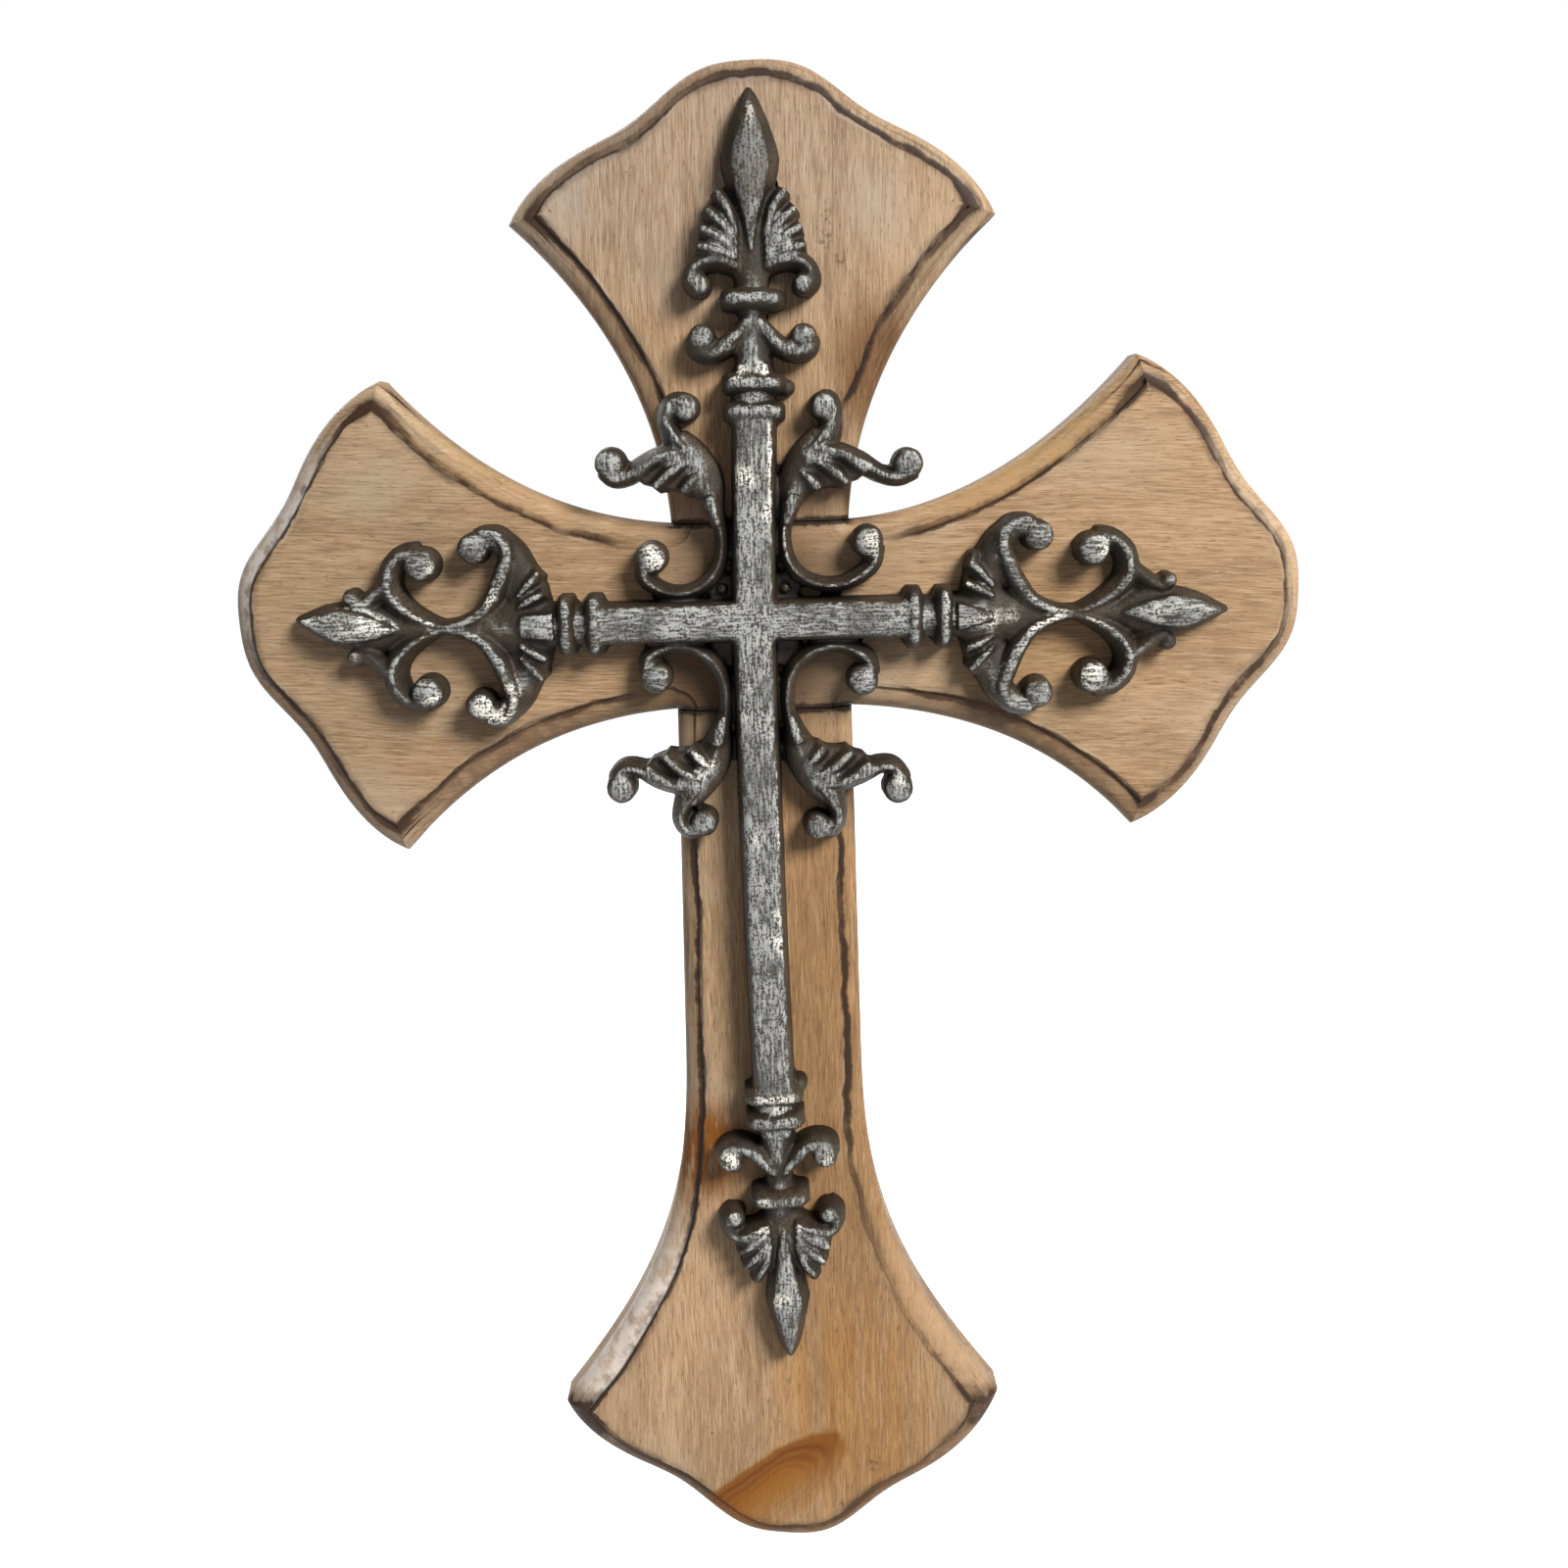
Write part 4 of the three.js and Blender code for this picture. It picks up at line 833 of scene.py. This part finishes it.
here = moulds.nodes.new("GeometryNodeInputPosition").outputs[0]
lines = node(moulds, "GeometryNodeMeshToCurve", Mesh=given.outputs["Geometry"]).outputs["Curve"]
lines = node(moulds, "GeometryNodeCurveSplineType", {"spline_type": "CATMULL_ROM"},
             Curve=lines).outputs["Curve"]
lines = node(moulds, "GeometryNodeResampleCurve", {"mode": "LENGTH"}, Curve=lines,
             Length=given.outputs["Spacing"]).outputs["Curve"]
lines, centre = captured(lines, "centre", here)
lines, heading = captured(lines, "heading", moulds.nodes.new("GeometryNodeInputTangent").outputs[0])
section = node(moulds, "GeometryNodeCurvePrimitiveCircle", {"mode": "RADIUS"}, Resolution=26, Radius=1.0)
section, spot = captured(section.outputs["Curve"], "spot", here)
swept = node(moulds, "GeometryNodeCurveToMesh", Curve=lines, _1=section, Fill_Caps=True).outputs["Mesh"]
spots = node(moulds, "ShaderNodeSeparateXYZ", _0=spot)
front = maths(moulds, "GREATER_THAN", spots.outputs["Y"], 0.02)
narrowed = maths(moulds, "SUBTRACT", 1.0, maths(moulds, "MULTIPLY", front, given.outputs["Draft"]))
across = maths(moulds, "MULTIPLY", spots.outputs["X"], narrowed)
across = maths(moulds, "MULTIPLY", across, named("half_width"))
fall = maths(moulds, "POWER", maths(moulds, "ABSOLUTE", spots.outputs["X"]), named("crown"))
fall = maths(moulds, "SUBTRACT", 1.0, maths(moulds, "MULTIPLY", fall, named("drop")))
up = maths(moulds, "MULTIPLY", maths(moulds, "MULTIPLY", fall, named("height")), front)
sunk = maths(moulds, "MULTIPLY", maths(moulds, "SUBTRACT", 1.0, front), given.outputs["Sunk Behind"])
headings = node(moulds, "ShaderNodeSeparateXYZ", _0=heading)
offset = node(moulds, "ShaderNodeCombineXYZ",
              _0=maths(moulds, "MULTIPLY", headings.outputs["Z"], across),
              _1=maths(moulds, "SUBTRACT", sunk, up),
              _2=maths(moulds, "MULTIPLY", maths(moulds, "MULTIPLY", headings.outputs["X"], across), -1.0))
goal = node(moulds, "ShaderNodeVectorMath", {"operation": "ADD"}, _0=centre, _1=offset.outputs[0]).outputs[0]
swept = node(moulds, "GeometryNodeSetPosition", Geometry=swept, Position=goal).outputs["Geometry"]
seats = node(moulds, "GeometryNodeMeshToPoints", Mesh=given.outputs["Geometry"],
             Selection=maths(moulds, "GREATER_THAN", named("ball"), 0.0)).outputs["Points"]
post = node(moulds, "GeometryNodeMeshCone", Vertices=28, Radius_Top=0.88, Radius_Bottom=1.0, Depth=1.0)
post = node(moulds, "GeometryNodeTransform", Geometry=post.outputs["Mesh"],
            Rotation=(math.pi / 2, 0, 0)).outputs["Geometry"]
shoulder = maths(moulds, "MULTIPLY", named("height"), 0.7)
size = node(moulds, "ShaderNodeCombineXYZ", _0=named("ball"), _1=shoulder, _2=named("ball")).outputs[0]
posts = node(moulds, "GeometryNodeInstanceOnPoints", Points=seats, Instance=post,
             Scale=size).outputs["Instances"]
dome = node(moulds, "GeometryNodeMeshUVSphere", Segments=28, Rings=20, Radius=0.92).outputs["Mesh"]
lift = node(moulds, "ShaderNodeCombineXYZ", _1=maths(moulds, "MULTIPLY", shoulder, -1.0)).outputs[0]
raised_seats = node(moulds, "GeometryNodeSetPosition", Geometry=seats, Offset=lift).outputs["Geometry"]
dome_rise = maths(moulds, "MULTIPLY", named("height"), 0.326)
size = node(moulds, "ShaderNodeCombineXYZ", _0=named("ball"), _1=dome_rise, _2=named("ball")).outputs[0]
domes = node(moulds, "GeometryNodeInstanceOnPoints", Points=raised_seats, Instance=dome, Scale=size)
joined = moulds.nodes.new("GeometryNodeJoinGeometry")
for branch in (swept, posts, domes.outputs["Instances"]):
    moulds.links.new(branch, joined.inputs[0])
realized = node(moulds, "GeometryNodeRealizeInstances", Geometry=joined.outputs[0]).outputs["Geometry"]
finished = node(moulds, "GeometryNodeSetMaterial", Geometry=realized, Material=given.outputs["Material"])
moulds.links.new(finished.outputs["Geometry"], result.inputs[0])

casting_maker = casting.modifiers.new("cast strokes and balls", "NODES")
casting_maker.node_group = moulds
casting_maker[back_socket.identifier] = 2.0 * MM
casting_maker[spacing_socket.identifier] = 0.7 * MM
casting_maker[draft_socket.identifier] = 0.1
casting_maker[iron_socket.identifier] = casting_iron
bpy.context.view_layer.update()


def made_plain(piece):
    """Turns the piece's evaluated shape into its own plain mesh and takes its modifiers away."""
    bpy.context.view_layer.update()
    mesh = bpy.data.meshes.new_from_object(piece.evaluated_get(bpy.context.evaluated_depsgraph_get()))
    piece.modifiers.clear()
    piece.data = mesh
    mesh.name = piece.name


made_plain(casting)
joining = casting.modifiers.new("one skin", "REMESH")
joining.mode = "VOXEL"
joining.voxel_size = 0.5 * MM
softening = casting.modifiers.new("cast corners", "SMOOTH")
softening.factor = 0.5
softening.iterations = 3
made_plain(casting)
spots = np.empty(len(casting.data.vertices) * 3)
casting.data.vertices.foreach_get("co", spots)
spots[1::3] = np.minimum(spots[1::3], IRON_BACK * MM)
casting.data.vertices.foreach_set("co", spots)
casting.data.update()
thinning = casting.modifiers.new("fewer triangles", "DECIMATE")
thinning.ratio = min(1.0, MOST_TRIANGLES / sum(len(p.vertices) - 2 for p in casting.data.polygons))
made_plain(casting)
spots = np.empty(len(casting.data.vertices) * 3)
casting.data.vertices.foreach_get("co", spots)
normals = np.empty(len(spots))
casting.data.vertex_normals.foreach_get("vector", normals)
spots, normals = spots.reshape(-1, 3), normals.reshape(-1, 3)
for spot, normal in zip(spots, normals):
    raised = min(1.0, max(0.0, (IRON_BACK * MM - spot[1]) / (2 * MM)))
    grain = COARSE_GRAIN * noise.noise(spot * 330) + FINE_GRAIN * noise.noise(spot * 900)
    spot += normal * grain * MM * raised
casting.data.vertices.foreach_set("co", spots.ravel())
casting.data.update()
casting.data.materials.clear()
casting.data.materials.append(casting_iron)
casting.data.shade_smooth()
casting.data.set_sharp_from_angle(angle=math.radians(60))

# Its finish: umber paint, darker in its sand-cast pits, with painted shade in its pockets and low down by
# the boards, and silver-grey and a little cream dry-brushed over whatever stands proud.
casting_iron.use_nodes = True
tree = casting_iron.node_tree
shader = tree.nodes["Principled BSDF"]
seen = tree.nodes.new("ShaderNodeTexCoord")
place = seen.outputs["Object"]
parts = node(tree, "ShaderNodeSeparateXYZ", _0=place)
facing = node(tree, "ShaderNodeSeparateXYZ", _0=seen.outputs["Normal"])
forward = maths(tree, "MULTIPLY", facing.outputs["Y"], -1.0)
height = maths(tree, "SUBTRACT", IRON_BACK * MM, parts.outputs["Y"])
grain = clouds(tree, place, 1500.0, 3.0, 0.65)
coarse = clouds(tree, place, 420.0, 3.0, 0.6)
cloudy = clouds(tree, place, 90.0, 3.0, 0.6)
paint_and_shade = blend(tree, ramp(tree, cloudy, 0.35, 0.68), (0.024, 0.017, 0.01, 1), (0.066, 0.046, 0.028, 1))
# Darker low down towards the boards: painted shade.
paint_and_shade = blend(tree, ramp(tree, height, 0.0065, 0.001, 0, 0.8), paint_and_shade, (0.016, 0.011, 0.007, 1))
paint_and_shade = blend(tree, ramp(tree, grain, 0.46, 0.6, 0, 0.75), paint_and_shade, (0.014, 0.009, 0.006, 1))
# Near-black in pockets and crevices, found by ambient occlusion: painted shade.
recess_shade = node(tree, "ShaderNodeAmbientOcclusion", {"samples": 6}, Distance=0.005).outputs["AO"]
paint_and_shade = blend(tree, ramp(tree, recess_shade, 0.95, 0.45, 0, 0.92), paint_and_shade, (0.009, 0.006, 0.004, 1))
ragged = maths(tree, "MULTIPLY_ADD", maths(tree, "SUBTRACT", coarse, 0.5), 0.9, forward)
flat_on = ramp(tree, ragged, 0.56, 0.82)
proud = maths(tree, "MULTIPLY_ADD", maths(tree, "SUBTRACT", cloudy, 0.5), 0.006, height)
proud = maths(tree, "MULTIPLY_ADD", near(tree, place, -110, 1, 22, 9), 0.0025, proud)
proud = ramp(tree, proud, 0.0074, 0.0086)
brushed = maths(tree, "MULTIPLY", flat_on, proud)
along_z = clouds(tree, stretched(tree, place, (1700, 900, 240)), 1.0, 3.0, 0.6)
along_x = clouds(tree, stretched(tree, place, (240, 900, 1700)), 1.0, 3.0, 0.6)
away = node(tree, "ShaderNodeVectorMath", {"operation": "ABSOLUTE"}, _0=place).outputs[0]
away = node(tree, "ShaderNodeSeparateXYZ", _0=away)
sideways = ramp(tree, maths(tree, "SUBTRACT", away.outputs["X"], away.outputs["Z"]), -0.001, 0.001)
brush_marks = maths(tree, "ADD", maths(tree, "MULTIPLY", along_x, sideways),
                    maths(tree, "MULTIPLY", along_z, maths(tree, "SUBTRACT", 1.0, sideways)))
mottle = maths(tree, "MULTIPLY_ADD", brush_marks, 0.4, maths(tree, "MULTIPLY", grain, 0.6))
speckle = ramp(tree, mottle, 0.545, 0.49)
brushed = maths(tree, "MULTIPLY", brushed, maths(tree, "MULTIPLY_ADD", speckle, 0.9, 0.1))
# Less silver on the top spear: painted shade.
spear_shade = maths(tree, "MULTIPLY_ADD", near(tree, place, -1, 116, 14, 24), -0.6, 1.0)
brushed = maths(tree, "MULTIPLY", brushed, spear_shade)
silver = maths(tree, "MULTIPLY_ADD", brush_marks, 0.5, maths(tree, "MULTIPLY", cloudy, 0.5))
silver = blend(tree, ramp(tree, silver, 0.42, 0.6), (0.39, 0.395, 0.375, 1), (0.11, 0.113, 0.11, 1))
silver = blend(tree, near(tree, place, -108, 1, 22, 9), silver, (1.9, 1.9, 1.85, 1), "MULTIPLY")
cream = maths(tree, "MULTIPLY", ramp(tree, clouds(tree, place, 55.0, 2.0), 0.58, 0.68), speckle)
cream_rubs = ((-5, 62.4, 3.6, 3.2), (2.6, 62.4, 3.6, 3.2), (0, -130, 9, 3.6), (0, 124, 1.7, 5),
              (-13.5, -147, 5, 4), (15, -149, 5, 4), (-85, -20, 4, 4), (72, -2, 26, 4),
              (3.2, 36, 1, 22), (-7, 44, 0.9, 10), (24, 4.5, 20, 1), (-25, -5.4, 12, 0.8),
              (3.2, -52, 0.9, 24))
for x, z, reach_x, reach_z in cream_rubs:
    rub = maths(tree, "MULTIPLY", near(tree, place, x, z, reach_x, reach_z), speckle)
    cream = maths(tree, "MAXIMUM", cream, rub)
silver = blend(tree, maths(tree, "MULTIPLY", cream, 0.9), silver, (0.95, 0.91, 0.82, 1))
tree.links.new(blend(tree, brushed, paint_and_shade, silver), shader.inputs["Base Color"])
shader.inputs["Specular IOR Level"].default_value = 0.3
rough = maths(tree, "MULTIPLY_ADD", grain, 0.3, 0.42)
tree.links.new(rough, shader.inputs["Roughness"])
pits = maths(tree, "ADD", maths(tree, "MULTIPLY", grain, 0.6), maths(tree, "MULTIPLY", coarse, 0.6))
bump = node(tree, "ShaderNodeBump", Height=pits, Strength=0.7, Distance=0.0005)
tree.links.new(bump.outputs["Normal"], shader.inputs["Normal"])
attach(casting, "root")
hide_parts("iron_ornament")

# Two small dark nails hold the casting through its upper pockets. Only their domed heads show.
nails = bpy.data.objects.new("nails", bpy.data.meshes.new("nails"))
nails.data.from_pydata([((IRON_X + side * 8.1) * MM, 0, (IRON_Z + 8.1) * MM) for side in (-1, 1)], [], [])
studio.collection.objects.link(nails)
nail_steel = bpy.data.materials.new("dark nail steel")
nail_steel.use_nodes = True
tree = nail_steel.node_tree
shader = tree.nodes["Principled BSDF"]
place = tree.nodes.new("ShaderNodeTexCoord").outputs["Object"]
rust = ramp(tree, clouds(tree, place, 900.0, 3.0), 0.45, 0.65)
tree.links.new(blend(tree, rust, (0.035, 0.03, 0.026, 1), (0.08, 0.045, 0.025, 1)), shader.inputs["Base Color"])
tree.links.new(maths(tree, "MULTIPLY_ADD", rust, 0.35, 0.4), shader.inputs["Roughness"])
shader.inputs["Metallic"].default_value = 0.7

nailing = bpy.data.node_groups.new("nails on points", "GeometryNodeTree")
nailing.interface.new_socket("Geometry", in_out="INPUT", socket_type="NodeSocketGeometry")
head_socket = nailing.interface.new_socket("Head Radius", in_out="INPUT", socket_type="NodeSocketFloat")
rise_socket = nailing.interface.new_socket("Head Height", in_out="INPUT", socket_type="NodeSocketFloat")
seat_socket = nailing.interface.new_socket("Seat", in_out="INPUT", socket_type="NodeSocketVector")
shank_socket = nailing.interface.new_socket("Shank Radius", in_out="INPUT", socket_type="NodeSocketFloat")
length_socket = nailing.interface.new_socket("Shank Length", in_out="INPUT", socket_type="NodeSocketFloat")
steel_socket = nailing.interface.new_socket("Material", in_out="INPUT", socket_type="NodeSocketMaterial")
nailing.interface.new_socket("Geometry", in_out="OUTPUT", socket_type="NodeSocketGeometry")
given = nailing.nodes.new("NodeGroupInput")
result = nailing.nodes.new("NodeGroupOutput")
dome = node(nailing, "GeometryNodeMeshUVSphere", Segments=24, Rings=16, Radius=1.0).outputs["Mesh"]
dome_size = node(nailing, "ShaderNodeCombineXYZ", _0=given.outputs["Head Radius"],
                 _1=given.outputs["Head Height"], _2=given.outputs["Head Radius"]).outputs[0]
dome = node(nailing, "GeometryNodeTransform", Geometry=dome, Scale=dome_size).outputs["Geometry"]
shank = node(nailing, "GeometryNodeMeshCone", Vertices=16, Radius_Top=0.0001,
             Radius_Bottom=given.outputs["Shank Radius"], Depth=given.outputs["Shank Length"]).outputs["Mesh"]
shank = node(nailing, "GeometryNodeTransform", Geometry=shank,
             Rotation=(-math.pi / 2, 0, 0)).outputs["Geometry"]
both = nailing.nodes.new("GeometryNodeJoinGeometry")
for branch in (dome, shank):
    nailing.links.new(branch, both.inputs[0])
seated = node(nailing, "GeometryNodeTransform", Geometry=both.outputs[0], Translation=given.outputs["Seat"])
spread = node(nailing, "GeometryNodeInstanceOnPoints", Points=given.outputs["Geometry"],
              Instance=seated.outputs["Geometry"])
spread = node(nailing, "GeometryNodeRealizeInstances", Geometry=spread.outputs["Instances"])
spread = node(nailing, "GeometryNodeSetMaterial", Geometry=spread.outputs["Geometry"],
              Material=given.outputs["Material"])
nailing.links.new(spread.outputs["Geometry"], result.inputs[0])
nail_maker = nails.modifiers.new("nails on points", "NODES")
nail_maker.node_group = nailing
for socket, value in ((head_socket, 1.5 * MM), (rise_socket, 1.4 * MM), (seat_socket, (0, -19.1 * MM, 0)),
                      (shank_socket, 0.8 * MM), (length_socket, 9.8 * MM), (steel_socket, nail_steel)):
    nail_maker[socket.identifier] = value
made_plain(nails)
nails.data.shade_smooth()
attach(nails, "root")
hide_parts("nail_left", "nail_right")

# The studio: a plain white floor under the hanging cross, a soft light from the upper right that
# throws the casting's shadow down to the left, a weak one behind, and even light from all round.
floor_mesh = bpy.data.meshes.new("floor")
corners = [(x * 20, y * 20, -0.42) for x, y in ((-1, -1), (1, -1), (1, 1), (-1, 1))]
floor_mesh.from_pydata(corners, [], [(0, 1, 2, 3)])
floor = bpy.data.objects.new("floor", floor_mesh)
studio.collection.objects.link(floor)
floor_paint = bpy.data.materials.new("white floor")
floor_paint.use_nodes = True
shader = floor_paint.node_tree.nodes["Principled BSDF"]
shader.inputs["Base Color"].default_value = (0.88, 0.88, 0.87, 1)
shader.inputs["Roughness"].default_value = 0.9
shader.inputs["Emission Color"].default_value = (1, 1, 1, 1)
shader.inputs["Emission Strength"].default_value = 0.85
floor_mesh.materials.append(floor_paint)
floor.visible_diffuse = False

key = bpy.data.objects.new("key", bpy.data.lights.new("key", "AREA"))
key.data.energy = 57
key.data.size = 0.66
key.data.color = (1, 0.985, 0.96)
key.location = Vector((0.53, -0.68, 0.53)).normalized() * 1.9
key.rotation_euler = key.location.to_track_quat("Z", "Y").to_euler()
studio.collection.objects.link(key)

rear = bpy.data.objects.new("rear", bpy.data.lights.new("rear", "AREA"))
rear.data.energy = 30
rear.data.size = 1.2
rear.location = (-0.9, 1.4, 0.8)
rear.rotation_euler = rear.location.to_track_quat("Z", "Y").to_euler()
studio.collection.objects.link(rear)

room = bpy.data.worlds.new("room")
studio.world = room
room.use_nodes = True
tree = room.node_tree
tree.nodes.clear()
looked_at = tree.nodes.new("ShaderNodeLightPath").outputs["Is Camera Ray"]
around = node(tree, "ShaderNodeBackground", Color=(0.96, 0.98, 1, 1), Strength=0.26)
white = node(tree, "ShaderNodeBackground", Color=(1, 1, 1, 1), Strength=1.0)
mixed = tree.nodes.new("ShaderNodeMixShader")
tree.links.new(looked_at, mixed.inputs[0])
tree.links.new(around.outputs[0], mixed.inputs[1])
tree.links.new(white.outputs[0], mixed.inputs[2])
tree.links.new(mixed.outputs[0], tree.nodes.new("ShaderNodeOutputWorld").inputs[0])
studio.view_settings.view_transform = "Standard"
